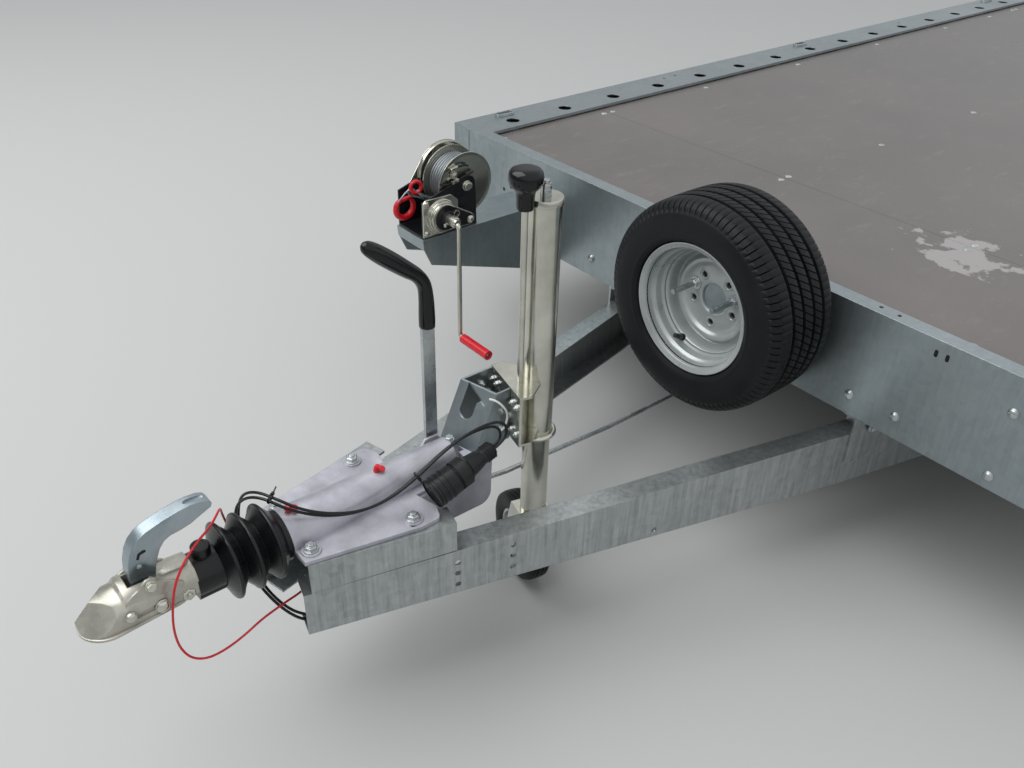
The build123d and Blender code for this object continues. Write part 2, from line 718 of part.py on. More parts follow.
with BuildPart() as jockey_bracket:
    for z in (bracket_foot_z, bracket_top_z):
        with BuildSketch(level_plane(z)) as plan:
            with BuildLine():
                Polyline(*bracket_plan(z, 0.0), close=True)
            make_face()
    loft(ruled=True)
    for z in (bracket_foot_z - 5, bracket_top_z + 5):
        with BuildSketch(level_plane(z)) as hollow_plan:
            with BuildLine():
                Polyline(*bracket_plan(z, bracket_wall_thickness), close=True)
            make_face()
    loft(ruled=True, mode=Mode.SUBTRACT)
    # The hook-shaped cut-out in the front, open at the top
    with BuildSketch(front_plane(bracket_front_y - 40)) as cut_out:
        with BuildLine():
            Polyline((-22, bracket_top_z + 5), (-22, bracket_foot_z + 64),
                     (-7, bracket_foot_z + 64), (8, bracket_foot_z + 64), (8, bracket_foot_z + 84),
                     (14, bracket_foot_z + 90), (24, bracket_foot_z + 84),
                     (36, bracket_foot_z + 92), (36, bracket_top_z + 5), close=True)
        make_face()
        with Locations((-7, bracket_foot_z + 64)):
            Circle(15)
    extrude(amount=-85, mode=Mode.SUBTRACT)
keep(jockey_bracket, "jockey_bracket")

tube_bore = jockey_leg_radius + running_clearance
tube_bottom = hitch_z - 10.0
collar_z = tube_bottom + 12.0
tube_end = 8.0
spindle_stub = 24.0
with BuildPart() as jockey_outer_tube:
    with BuildSketch(side_plane(jockey_x, jockey_y)) as profile:
        with BuildLine():
            Polyline((tube_bore, tube_bottom), (jockey_tube_radius, tube_bottom),
                     (jockey_tube_radius, jockey_top - tube_end), (tube_fit + 1, jockey_top - tube_end),
                     (tube_fit + 1, jockey_top - 2), (jockey_tube_radius - 2, jockey_top),
                     (9, jockey_top), (9, jockey_top + spindle_stub), (0, jockey_top + spindle_stub),
                     (0, jockey_top - tube_end), (tube_bore, jockey_top - tube_end), close=True)
        make_face()
    revolve(axis=jockey_axis)
    with BuildSketch(side_plane(jockey_x, jockey_y)) as collar:
        with Locations((jockey_tube_radius + 4, collar_z)):
            Circle(5)
    revolve(axis=jockey_axis)
keep(jockey_outer_tube, "jockey_outer_tube")

# The clamp's locking rod stands on the upper plate, with a moulded knob over the tube's top
lock_rod_y = jockey_y - 45.0
lock_rod_radius = 6.0
knob_bottom = jockey_top - 13.0
with BuildPart() as jockey_lock_rod:
    with BuildSketch(level_plane(clamp_top + seat_gap, jockey_x, lock_rod_y)) as section:
        Circle(lock_rod_radius)
    extrude(amount=knob_bottom - clamp_top - 2 * seat_gap)
keep(jockey_lock_rod, "jockey_lock_rod")

with BuildPart() as jockey_lock_knob:
    with BuildSketch(side_plane(jockey_x, lock_rod_y, knob_bottom)) as profile:
        with BuildLine():
            Polyline((0, 0), (13, 0), (13, 30), (27, 44), (30, 50), (30, 62), (26, 70), (18, 74),
                     (0, 74), close=True)
        make_face()
    revolve(axis=Axis((jockey_x, at(lock_rod_y), 0), (0, 0, 1)))
keep(jockey_lock_knob, "jockey_lock_knob")

# The leg with its fork, turned about the tube's axis by the swivel
fork_gap = jockey_wheel_width / 2 + 6.0
fork_wall = 3.0
fork_crown = 2 * jockey_wheel_radius + 5.0
fork_crown_wall = 8.0
leg_top = clamp_top + 100.0
swivel = radians(jockey_swivel)
roll_dir = Vector(cos(swivel), sin(swivel), 0)
wheel_dir = Vector(-sin(swivel), cos(swivel), 0)
jockey_centre = Vector(jockey_x, at(jockey_y), jockey_wheel_radius) - roll_dir * jockey_wheel_lead


def fork_plane(offset):
    """An upright plane along the jockey wheel, its X along the rolling direction and its Y up."""
    origin = Vector(jockey_x, at(jockey_y), 0) + wheel_dir * offset
    return Plane(origin=origin, x_dir=roll_dir, z_dir=-wheel_dir)


with BuildPart() as jockey_leg:
    with BuildSketch(level_plane(fork_crown, jockey_x, jockey_y)) as column:
        Circle(jockey_leg_radius)
    extrude(amount=leg_top - fork_crown)
    with BuildSketch(fork_plane(fork_gap + fork_wall)) as crown:
        with BuildLine():
            Polyline((-jockey_leg_radius - 8, fork_crown), (jockey_leg_radius + 3, fork_crown),
                     (jockey_leg_radius + 3, fork_crown + fork_crown_wall),
                     (-jockey_leg_radius - 8, fork_crown + fork_crown_wall), close=True)
        make_face()
    extrude(amount=2 * (fork_gap + fork_wall))
    for offset in (fork_gap + fork_wall, -fork_gap):
        with BuildSketch(fork_plane(offset)) as cheek:
            with BuildLine():
                Polyline((-jockey_leg_radius - 8, fork_crown + fork_crown_wall),
                         (jockey_leg_radius + 3, fork_crown + fork_crown_wall),
                         (jockey_leg_radius + 3, fork_crown - 15), (18 - jockey_wheel_lead, 84),
                         (-18 - jockey_wheel_lead, 84), (-18 - jockey_wheel_lead, 112),
                         close=True)
            make_face()
        extrude(amount=fork_wall)
    with BuildSketch(fork_plane(fork_gap + fork_wall)) as pin:
        with Locations((-jockey_wheel_lead, jockey_wheel_radius)):
            Circle(jockey_pin_radius)
    extrude(amount=2 * (fork_gap + fork_wall))
keep(jockey_leg, "jockey_leg")

jockey_rim_radius = 62.0
wheel_axis = Axis(jockey_centre, wheel_dir)
jockey_wheel_plane = Plane(origin=jockey_centre, x_dir=wheel_dir, z_dir=roll_dir)
with BuildPart() as jockey_wheel_rim:
    with BuildSketch(jockey_wheel_plane) as profile:
        with BuildLine():
            Polyline((-24, jockey_pin_radius + running_clearance),
                     (24, jockey_pin_radius + running_clearance), (24, 18), (6, 22), (6, 52),
                     (20, 56), (20, jockey_rim_radius), (-20, jockey_rim_radius), (-20, 56),
                     (-6, 52), (-6, 22), (-24, 18), close=True)
        make_face()
    revolve(axis=wheel_axis)
keep(jockey_wheel_rim, "jockey_wheel_rim")

tread_half = jockey_wheel_width / 2
with BuildPart() as jockey_wheel_tyre:
    with BuildSketch(jockey_wheel_plane) as profile:
        with BuildLine():
            Polyline((-tread_half + 3, jockey_rim_radius + seat_gap),
                     (tread_half - 3, jockey_rim_radius + seat_gap), (tread_half, 72),
                     (tread_half, 88), (tread_half - 7, 97), (8, jockey_wheel_radius),
                     (-8, jockey_wheel_radius), (-tread_half + 7, 97), (-tread_half, 88),
                     (-tread_half, 72), close=True)
        make_face()
    revolve(axis=wheel_axis)
keep(jockey_wheel_tyre, "jockey_wheel_tyre")

# Winch bracket: a folded box on the front panel that carries the hand winch
winch_inner_x = winch_outer_x - winch_bracket_width
winch_sheet = 4.0
winch_nose_height = 25.0
winch_elbow = (24.0, 73.0)
winch_heel = 200.0


def bracket_side(trim):
    """Side view of the winch bracket, less a wall all round apart from the open underside."""
    front = -winch_bracket_reach + trim
    back = -seat_gap - trim
    top = winch_bracket_top - trim
    below = 40.0 if trim else 0.0
    return [(front, top), (back, top), (back, winch_bracket_top - winch_heel - below),
            (front + winch_elbow[0], winch_bracket_top - winch_elbow[1] - below),
            (front + 2, winch_bracket_top - winch_nose_height - below)]


with BuildPart() as winch_bracket:
    with BuildSketch(side_plane(winch_inner_x)) as outline:
        with BuildLine():
            Polyline(*bracket_side(0.0), close=True)
        make_face()
    extrude(amount=winch_bracket_width)
    with BuildSketch(side_plane(winch_inner_x + winch_sheet)) as hollow:
        with BuildLine():
            Polyline(*bracket_side(winch_sheet), close=True)
        make_face()
    extrude(amount=winch_bracket_width - 2 * winch_sheet, mode=Mode.SUBTRACT)
keep(winch_bracket, "winch_bracket")

# Hand winch: two side plates on a base, the near one black, with a gear case on its outside
winch_base_z = winch_bracket_top + seat_gap
winch_front_y = -404.0
winch_back_y = -240.0
winch_near_x = winch_outer_x - 8.0
winch_plate = 4.0
winch_plate_height = 92.0
drum_shaft = 10.0
shaft_eye = 24.0
with BuildPart() as winch_frame:
    add(box(winch_inner_x, winch_near_x, winch_front_y, winch_back_y, winch_base_z,
            winch_base_z + winch_plate))
    for plate_x in (winch_inner_x, winch_near_x - winch_plate):
        with BuildSketch(side_plane(plate_x)) as plate:
            with Locations((winch_drum_y, winch_drum_z)):
                Circle(shaft_eye)
            with BuildLine():
                Polyline((winch_front_y, winch_base_z), (winch_back_y, winch_base_z),
                         (winch_front_y, winch_base_z + winch_plate_height), close=True)
            make_face()
            make_hull()
            with Locations((winch_drum_y, winch_drum_z)):
                Circle(drum_shaft + seat_gap, mode=Mode.SUBTRACT)
        extrude(amount=winch_plate)
keep(winch_frame, "winch_frame")

gear_case_depth = 22.0
gear_case_x = winch_near_x + seat_gap
gear_boss = 4.0
with BuildPart() as winch_gear_cover:
    with BuildSketch(side_plane(gear_case_x)) as outline:
        with Locations((winch_crank_y - 10, winch_crank_z + 2)):
            Circle(44)
        with Locations((winch_drum_y - 7, winch_crank_z - 17)):
            Circle(24)
        make_hull()
    extrude(amount=gear_case_depth)
    fillet(winch_gear_cover.faces().sort_by(Axis.X)[-1].edges(), 6)
    with BuildSketch(side_plane(gear_case_x, winch_crank_y, winch_crank_z)) as boss:
        Circle(20)
    extrude(amount=gear_case_depth + gear_boss)
keep(winch_gear_cover, "winch_gear_cover")

drum_near = winch_near_x - 16.0
drum_far = drum_near - 62.0
drum_flange = 3.0
drum_dish = 5.0
drum_core = 35.0
drum_axis = Axis((0, at(winch_drum_y), winch_drum_z), (1, 0, 0))
with BuildPart() as winch_drum:
    with BuildSketch(front_plane(winch_drum_y, 0, winch_drum_z)) as profile:
        with BuildLine():
            Polyline((winch_inner_x - 6, 0), (winch_near_x + 8, 0), (winch_near_x + 8, drum_shaft),
                     (drum_near + drum_flange, drum_shaft), (drum_near + drum_flange, drum_core),
                     (drum_near + drum_dish + drum_flange, winch_drum_radius - 8),
                     (drum_near + drum_dish + drum_flange, winch_drum_radius),
                     (drum_near + drum_dish, winch_drum_radius),
                     (drum_near + drum_dish, winch_drum_radius - 7), (drum_near, drum_core),
                     (drum_far + drum_flange, drum_core),
                     (drum_far + drum_flange, winch_drum_radius), (drum_far, winch_drum_radius),
                     (drum_far, drum_shaft), (winch_inner_x - 6, drum_shaft), close=True)
        make_face()
    revolve(axis=drum_axis)
keep(winch_drum, "winch_drum")

rope_fill = 64.0
with BuildPart() as winch_rope:
    with BuildSketch(front_plane(winch_drum_y, 0, winch_drum_z)) as profile:
        with Locations(((drum_near + drum_far + drum_flange) / 2,
                        (drum_core + rope_fill) / 2 + seat_gap / 2)):
            Rectangle(drum_near - drum_far - drum_flange - 2 * seat_gap,
                      rope_fill - drum_core - seat_gap)
    revolve(axis=drum_axis)
keep(winch_rope, "winch_rope")

# Hook of the winch rope, hung against the front edge of the far side plate
hook_radius = 24.0
hook_wire = 7.0
hook_x = winch_inner_x + hook_radius
hook_y = winch_front_y - seat_gap - hook_wire
hook_z = winch_bracket_top + 54.0
with BuildPart() as winch_hook:
    with BuildSketch(level_plane(hook_z, hook_x, hook_y)) as section:
        with Locations((-hook_radius, 0)):
            Circle(hook_wire)
    revolve(axis=Axis((hook_x, at(hook_y), hook_z), (0, -1, 0)), revolution_arc=290)
keep(winch_hook, "winch_hook")

crank_radius = 6.0
crank_x = winch_outer_x + 60.0
crank_drop = 311.0
crank_low = winch_crank_z - crank_drop
crank_start = gear_case_x + gear_case_depth + gear_boss + seat_gap
grip_start_x = crank_x + 14.0
grip_length = 106.0
with BuildPart() as winch_crank:
    with BuildLine(front_plane(winch_crank_y)) as path:
        FilletPolyline((crank_start, winch_crank_z), (crank_x, winch_crank_z),
                       (crank_x, crank_low), (grip_start_x + grip_length - 4, crank_low), radius=12)
    with BuildSketch(Plane(origin=path.line @ 0, z_dir=path.line % 0)) as section:
        Circle(crank_radius)
    sweep()
    with BuildSketch(side_plane(crank_start, winch_crank_y, winch_crank_z)) as socket:
        Circle(12)
    extrude(amount=22)
keep(winch_crank, "winch_crank")

with BuildPart() as winch_crank_grip:
    with BuildSketch(side_plane(grip_start_x, winch_crank_y, crank_low)) as section:
        Circle(12.5)
        Circle(crank_radius + seat_gap, mode=Mode.SUBTRACT)
    extrude(amount=grip_length)
keep(winch_crank_grip, "winch_crank_grip")


def rim_outline():
    """Half section of a wheel rim: distance outwards along the axle, radius."""
    half = rim_width / 2
    barrel = rim_barrel_radius
    well = rim_well_radius
    flange = rim_flange_radius
    tyre_side = [(-half, flange), (-half + 5, flange), (-half + 10, barrel + 5),
                 (-half + 48, barrel), (-half + 60, well), (14, well), (26, barrel),
                 (half - 10, barrel + 5), (half - 5, flange), (half, flange)]
    air_side = [(half, flange - 5), (half - 2, flange - 5), (half - 8, barrel + 0.5),
                (28, barrel - 4.5), (15, well - 4.5), (-half + 59, well - 4.5),
                (-half + 46, barrel - 4.5), (-half + 8, barrel + 0.5), (-half + 2, flange - 5),
                (-half, flange - 5)]
    return tyre_side + air_side


def disc_outline():
    """Half section of the wheel's disc, with the raised ring round its bolt face."""
    face = rim_width / 2 - disc_depth
    return [(face - 5, disc_bore), (face, disc_bore), (face, 76), (face + 8, 84), (face + 8, 92),
            (face - 2, 101), (face - 2, rim_well_radius - 2), (face - 7, rim_well_radius - 2),
            (face - 7, 99.5), (face + 3, 90.5), (face + 3, 85), (face - 5, 78)]


def tyre_outline():
    """Half section of a tyre, seated between the rim's flanges."""
    half = tyre_width / 2
    bead = rim_width / 2 - 11
    seat = rim_barrel_radius + 5 + seat_gap
    right = [(bead, seat), (bead + 4.7, rim_flange_radius + 0.6),
             (bead + 13, rim_flange_radius + 4), (half, 180), (half, 192), (half - 5, 214),
             (half - 16, 229), (half - 38, tyre_radius)]
    left = [(-u, r) for u, r in reversed(right)]
    return right + left


def wheel_plane(x, y, z, side):
    """The plane through a wheel's axle, its X outwards along the axle."""
    return Plane(origin=(x, at(y), z), x_dir=(side, 0, 0), z_dir=(0, -side, 0))


def wheel_rim(plane, hub):
    """A rim with its disc, and where it is fitted on an axle its hub and drum."""
    axis = Axis(plane.origin, plane.x_dir)
    face = rim_width / 2 - disc_depth
    with BuildPart() as rim:
        with BuildSketch(plane) as barrel:
            with BuildLine():
                Polyline(*rim_outline(), close=True)
            make_face()
        revolve(axis=axis)
        with BuildSketch(plane) as disc:
            with BuildLine():
                Polyline(*disc_outline(), close=True)
            make_face()
        revolve(axis=axis)
        face_plane = Plane(origin=plane.origin + plane.x_dir * (face + 1), x_dir=plane.y_dir,
                           z_dir=plane.x_dir)
        with BuildSketch(face_plane) as bolts:
            with PolarLocations(bolt_circle / 2, bolt_count, start_angle=0):
                Circle(bolt_hole / 2)
        extrude(amount=-8, mode=Mode.SUBTRACT)
        if hub:
            with BuildSketch(plane) as drum:
                with BuildLine():
                    Polyline((face - 5 - drum_length, spindle_radius + spindle_clearance),
                             (face - 12, spindle_radius + spindle_clearance), (face - 12, 0),
                             (face + 26, 0), (face + 26, 20), (face + 20, 28), (face - 5, 28),
                             (face - 5, drum_radius - 8), (face - 11, drum_radius),
                             (face - 5 - drum_length, drum_radius), close=True)
                make_face()
            revolve(axis=axis)
    return rim.part


def wheel_tyre(plane):
    """A tyre round the axle of the given plane."""
    with BuildPart() as tyre:
        with BuildSketch(plane) as profile:
            with BuildLine():
                Polyline(*tyre_outline(), close=True)
            make_face()
        revolve(axis=Axis(plane.origin, plane.x_dir))
    return tyre.part


# Four road wheels on two axles
for row, wheel_row_y in wheel_y.items():
    for name, side in (("left", 1), ("right", -1)):
        plane = wheel_plane(side * wheel_x, wheel_row_y, tyre_radius, side)
        with BuildPart() as road_rim:
            add(wheel_rim(plane, hub=True))
        keep(road_rim, f"rim_{row}_{name}")
        with BuildPart() as road_tyre:
            add(wheel_tyre(plane))
        keep(road_tyre, f"tyre_{row}_{name}")

# Rubber torsion axles: a square tube with a trailing arm and a spindle at each end
spindle_end = rim_width / 2 - disc_depth - 14.0
drum_inner = rim_width / 2 - disc_depth - 5.0 - drum_length
for row, wheel_row_y in wheel_y.items():
    with BuildPart() as axle:
        add(box(-axle_half_length, axle_half_length, wheel_row_y - arm_reach - axle_tube / 2,
                wheel_row_y - arm_reach + axle_tube / 2, axle_height - axle_tube / 2,
                axle_height + axle_tube / 2))
        for side in (1, -1):
            pad_x = side * (rail_outer_x - rail_width / 2)
            add(box(pad_x - rail_width / 2, pad_x + rail_width / 2, wheel_row_y - arm_reach - 80,
                    wheel_row_y - arm_reach + 80, axle_height + axle_tube / 2 - 1,
                    member_rail_bottom - seat_gap))
            inner = side * axle_half_length
            with BuildSketch(side_plane(inner, wheel_row_y)) as arm:
                with Locations((-arm_reach, axle_height)):
                    Circle(40)
                with Locations((0, tyre_radius)):
                    Circle(30)
                make_hull()
            extrude(amount=side * arm_thickness)
            with BuildSketch(side_plane(inner, wheel_row_y, tyre_radius)) as spindle:
                Circle(spindle_radius)
            extrude(amount=side * (wheel_x + spindle_end - axle_half_length))
            with BuildSketch(side_plane(side * (wheel_x + drum_inner - 10), wheel_row_y,
                                        tyre_radius)) as back_plate:
                Circle(drum_radius)
            extrude(amount=side * 4)
    keep(axle, f"axle_{row}")

# Spare wheel, face forward, on two studs of a folded bracket on the front panel
spare_inner_y = spare_disc_y + 5.0
spare_plane_y = spare_disc_y + rim_width / 2 - disc_depth
spare_plane = Plane(origin=(spare_x, at(spare_plane_y), spare_z), x_dir=(0, -1, 0), z_dir=(-1, 0, 0))
with BuildPart() as spare_rim:
    add(wheel_rim(spare_plane, hub=False))
keep(spare_rim, "spare_rim")
with BuildPart() as spare_tyre:
    add(wheel_tyre(spare_plane))
keep(spare_tyre, "spare_tyre")

stud_radius = 6.0
stud_angles = (18.0, 162.0)
with BuildPart() as spare_bracket:
    add(box(spare_x - 70, spare_x + 70, -seat_gap - 4, -seat_gap, panel_bottom + 20, deck_top - 10))
    add(box(spare_x - 36, spare_x - 32, spare_inner_y + seat_gap, -seat_gap, spare_z - 70,
            spare_z + 50))
    add(box(spare_x + 32, spare_x + 36, spare_inner_y + seat_gap, -seat_gap, spare_z - 70,
            spare_z + 50))
    add(box(spare_x - 60, spare_x + 60, spare_inner_y + seat_gap, spare_inner_y + seat_gap + 5,
            spare_z - 60, spare_z + 60))
    for angle in stud_angles:
        with BuildSketch(front_plane(spare_inner_y + seat_gap + 2, spare_x, spare_z)) as stud:
            with PolarLocations(bolt_circle / 2, 1, start_angle=angle):
                Circle(stud_radius)
        extrude(amount=80)
keep(spare_bracket, "spare_bracket")

# Rear lamps, number plate and the fold-flat lashing loops
with BuildPart() as lamp_housings:
    for side in (1, -1):
        add(box(side * lamp_x - lamp_width / 2, side * lamp_x + lamp_width / 2,
                tail_y - lamp_depth, tail_y + 6, lamp_z - lamp_height / 2, lamp_z + lamp_height / 2))
keep(lamp_housings, "lamp_housings")

with BuildPart() as lamp_lenses:
    for side in (1, -1):
        add(box(side * lamp_x - lamp_width / 2 + 6, side * lamp_x + lamp_width / 2 - 6,
                tail_y + 6 + seat_gap, tail_y + 16, lamp_z - lamp_height / 2 + 6,
                lamp_z + lamp_height / 2 - 6))
keep(lamp_lenses, "lamp_lenses")
plate_width = 520.0
plate_height = 110.0
with BuildPart() as number_plate:
    add(box(-plate_width / 2, plate_width / 2, tail_y + seat_gap, tail_y + 3,
            lamp_z - plate_height / 2, lamp_z + plate_height / 2))
keep(number_plate, "number_plate")

loop_places = (160.0, 1586.0, 2956.0, platform_length - 180.0)
loop_length = 62.0
loop_width = 26.0
loop_wire = 4.0
loop_x = half_width - 32.0
with BuildPart() as lashing_loops:
    for side in (1, -1):
        for place in loop_places:
            with BuildSketch(level_plane(deck_top + seat_gap, side * loop_x, place)) as loop:
                RectangleRounded(loop_width, loop_length, 10)
                RectangleRounded(loop_width - 2 * loop_wire, loop_length - 2 * loop_wire, 6,
                                 mode=Mode.SUBTRACT)
            extrude(amount=2 * loop_wire)
keep(lashing_loops, "lashing_loops")

# Two aluminium ramps that draw out of guides under the deck's tail
ramp_rear = tail_y - 10.0
guide_wall = 3.0
for name, side in (("left", 1), ("right", -1)):
    with BuildPart() as ramp:
        for rail_side in (1, -1):
            rail_x = side * ramp_x + rail_side * (ramp_width / 2 - 15)
            add(box(rail_x - 15, rail_x + 15, ramp_rear - ramp_length, ramp_rear,
                    ramp_z - ramp_depth / 2, ramp_z + ramp_depth / 2))
        rungs = 16
        for rung in range(rungs):
            rung_y = ramp_rear - ramp_length + 30 + rung * (ramp_length - 60) / (rungs - 1)
            add(box(side * ramp_x - ramp_width / 2 + 20, side * ramp_x + ramp_width / 2 - 20,
                    rung_y - 14, rung_y + 14, ramp_z - 8, ramp_z + 16))
    keep(ramp, f"ramp_{name}")
with BuildPart() as ramp_guides:
    for side in (1, -1):
        for guide_side in (1, -1):
            inner_x = ramp_width / 2 + ramp_guide_gap
            low = ramp_z - ramp_depth / 2 - seat_gap - guide_wall
            for x0, x1, z0, z1 in ((inner_x, inner_x + guide_wall, low, member_bottom - seat_gap),
                                   (inner_x - 25, inner_x, low, low + guide_wall)):
                edges = sorted((side * ramp_x + guide_side * x0, side * ramp_x + guide_side * x1))
                add(box(edges[0], edges[1], ramp_rear - ramp_length + 300, tail_y - sheet - 2,
                        z0, z1))
keep(ramp_guides, "ramp_guides")
# Plug in its parking holder beside the housing
plug_x = 82.0
plug_front = Vector(plug_x, at(housing_rear - 115), hitch_z + 12)
plug_rear = Vector(plug_x, at(housing_rear + 19), hitch_z + 52)
plug_dir = (plug_rear - plug_front).normalized()
plug_length = (plug_rear - plug_front).length
plug_radius = 28.0
plug_waist = 25.0
waist_start = 50.0
waist_end = 76.0
plug_plane = Plane(origin=plug_front, x_dir=plug_dir, z_dir=(1, 0, 0))
with BuildPart() as plug:
    with BuildSketch(plug_plane) as profile:
        with BuildLine():
            Polyline((0, 0), (0, plug_radius - 2), (3, plug_radius), (waist_start - 2, plug_radius),
                     (waist_start, plug_waist), (waist_end, plug_waist), (waist_end + 5, 21),
                     (106, 17), (110, 15.5), (plug_length - 4, 15.5), (plug_length, 12),
                     (plug_length, 0), close=True)
        make_face()
    revolve(axis=Axis(plug_front, plug_dir))
keep(plug, "plug")

holder_wall = 3.0
holder_length = 20.0
holder_start = waist_start + 3.0
holder_plane = Plane(origin=plug_front + plug_dir * holder_start, x_dir=(1, 0, 0), z_dir=plug_dir)
with BuildPart() as plug_holder:
    with BuildSketch(holder_plane) as ring:
        Circle(plug_waist + seat_gap + holder_wall)
    extrude(amount=holder_length)
    add(box(cheek_outer_x + seat_gap, 63, housing_rear - 60, housing_rear - 46, hitch_z - 6,
            hitch_z + 13))
    with BuildSketch(holder_plane.offset(-20)) as bore:
        Circle(plug_waist + seat_gap)
    extrude(amount=holder_length + 40, mode=Mode.SUBTRACT)
keep(plug_holder, "plug_holder")


def cord_solid(points, radius):
    """A tube along a cord's route: each bend is as round as its two runs allow."""
    route = [Vector(x, at(y), z) for x, y, z in points]
    radii = []
    for before, corner, after in zip(route, route[1:], route[2:]):
        run = min((corner - before).length, (after - corner).length)
        turn = (corner - before).get_angle(after - corner)
        radii.append(0.45 * run / tan(radians(turn) / 2))
    print("cord radii", [round(r) for r in radii])
    with BuildPart() as cord:
        with BuildLine() as path:
            FilletPolyline(*route, radius=radii)
        with BuildSketch(Plane(origin=path.line @ 0, z_dir=path.line % 0)) as section:
            Circle(radius)
        sweep()
    print("cord volume", round(cord.part.volume), "section times length",
          round(pi * radius ** 2 * path.wire().length))
    return cord.part

# Lead of the plug: two thin cables over the housing and round the bellows, into the near beam
lead_radius = 2.6
lead_route_upper = ((79.0, -741.0, 464.0), (79.0, -724.0, 469.07), (75.0, -717.0, 486.0),
                    (71.0, -727.0, 501.0), (67.0, -752.0, 505.0), (63.0, -794.0, 502.0),
                    (61.0, -838.0, 489.0), (61.0, -884.0, 466.0), (62.0, -930.0, 447.0),
                    (62.0, -978.0, 437.0), (55.0, -1031.0, 442.0), (40.0, -1082.0, 460.0),
                    (14.0, -1124.0, 482.0), (-20.0, -1150.0, 493.0), (-56.0, -1164.0, 476.0),
                    (-80.0, -1170.0, 442.0), (-86.0, -1174.0, 400.0), (-72.0, -1178.0, 358.0),
                    (-40.0, -1180.0, 326.0), (2.0, -1174.0, 300.0), (40.0, -1155.0, 272.0),
                    (62.0, -1130.0, 254.0), (74.0, -1100.0, 249.2))
lead_route_lower = ((85.0, -741.0, 464.0), (85.0, -726.0, 468.48), (84.0, -710.0, 482.0),
                    (79.0, -709.0, 502.0), (74.0, -727.0, 513.0), (70.0, -762.0, 513.0),
                    (67.0, -806.0, 504.0), (67.0, -852.0, 486.0), (68.0, -900.0, 463.0),
                    (69.0, -948.0, 447.0), (66.0, -1000.0, 445.0), (54.0, -1052.0, 457.0),
                    (32.0, -1100.0, 479.0), (-2.0, -1134.0, 497.0), (-40.0, -1151.0, 494.0),
                    (-74.0, -1158.0, 466.0), (-92.0, -1163.0, 424.0), (-90.0, -1168.0, 378.0),
                    (-66.0, -1170.0, 336.0), (-26.0, -1170.0, 306.0), (16.0, -1158.0, 280.0),
                    (46.0, -1134.0, 258.0), (62.0, -1102.0, 249.2))
plug_lead_upper = cord_solid(lead_route_upper, lead_radius)
plug_lead_lower = cord_solid(lead_route_lower, lead_radius)

# Breakaway cable: from under the housing forward, up beside the head and over to the far riser
cable_radius = 2.0
cable_route = ((36.0, -1092.0, 400.3), (36.0, -1090.0, 368.0), (35.0, -1092.0, 333.0),
               (33.0, -1103.0, 307.0), (31.0, -1126.0, 295.0), (38.0, -1156.0, 298.0),
               (46.0, -1204.0, 296.0), (50.0, -1241.0, 283.0), (54.0, -1277.0, 278.0),
               (56.0, -1308.0, 281.0), (56.0, -1332.0, 299.0), (54.0, -1345.0, 331.0),
               (52.0, -1347.0, 372.0), (50.0, -1340.0, 415.0), (48.0, -1328.0, 456.0),
               (42.0, -1306.0, 493.0), (27.0, -1278.0, 509.0), (2.0, -1248.0, 502.0),
               (-28.0, -1222.0, 492.0), (-57.0, -1204.0, 472.0), (-76.0, -1197.0, 441.0),
               (-79.0, -1190.0, 405.0), (-67.0, -1177.0, 369.0), (-52.0, -1152.0, 349.0),
               (-58.0, -1112.0, 343.9))
breakaway_cable = cord_solid(cable_route, cable_radius)
for name, cord in (("plug_lead_upper", plug_lead_upper), ("plug_lead_lower", plug_lead_lower),
                   ("breakaway_cable", breakaway_cable)):
    cord.label = name
    pieces[name] = cord

os.makedirs("parts", exist_ok=True)
for name, solid in pieces.items():
    export_step(solid, f"parts/{name}.step")
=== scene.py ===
import json
import math

import bmesh
import bpy
from mathutils import Matrix, Vector


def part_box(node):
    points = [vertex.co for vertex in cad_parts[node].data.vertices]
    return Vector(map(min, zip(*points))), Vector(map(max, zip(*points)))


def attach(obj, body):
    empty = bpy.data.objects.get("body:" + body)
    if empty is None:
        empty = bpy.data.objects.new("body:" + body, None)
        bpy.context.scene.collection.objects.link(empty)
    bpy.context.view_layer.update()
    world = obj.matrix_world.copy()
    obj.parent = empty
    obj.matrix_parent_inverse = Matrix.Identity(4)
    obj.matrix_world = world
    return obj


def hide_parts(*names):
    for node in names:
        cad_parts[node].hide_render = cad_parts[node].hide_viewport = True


bl_info = {
    "name": "Flat-deck car trailer",
    "version": (1, 0, 0),
    "blender": (4, 5, 0),
    "location": "View3D > Sidebar > Trailer",
    "description": "Finishes and fine pieces for a twin-axle car trailer with a drawbar",
    "category": "Object",
}

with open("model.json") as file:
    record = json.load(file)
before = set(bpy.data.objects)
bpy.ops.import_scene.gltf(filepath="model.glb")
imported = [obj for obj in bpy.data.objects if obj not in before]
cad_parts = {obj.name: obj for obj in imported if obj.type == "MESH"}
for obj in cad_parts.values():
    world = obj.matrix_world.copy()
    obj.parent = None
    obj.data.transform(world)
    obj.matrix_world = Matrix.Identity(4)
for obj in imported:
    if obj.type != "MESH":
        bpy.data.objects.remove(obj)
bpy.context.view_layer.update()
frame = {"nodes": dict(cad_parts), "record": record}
nodes = frame["nodes"]
MM = 0.001
PANEL_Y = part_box("front_panel")[0].y
CAMERA_PLACE = Vector((1.1635, -3.1124, 1.5205))
LAMP_PLACE = Vector((-2.0, -4.5, 5.5))
LAMP_AIM = Vector((0, -1.0, 0.3))
FLOOR_HALF_SIZE = 30.0

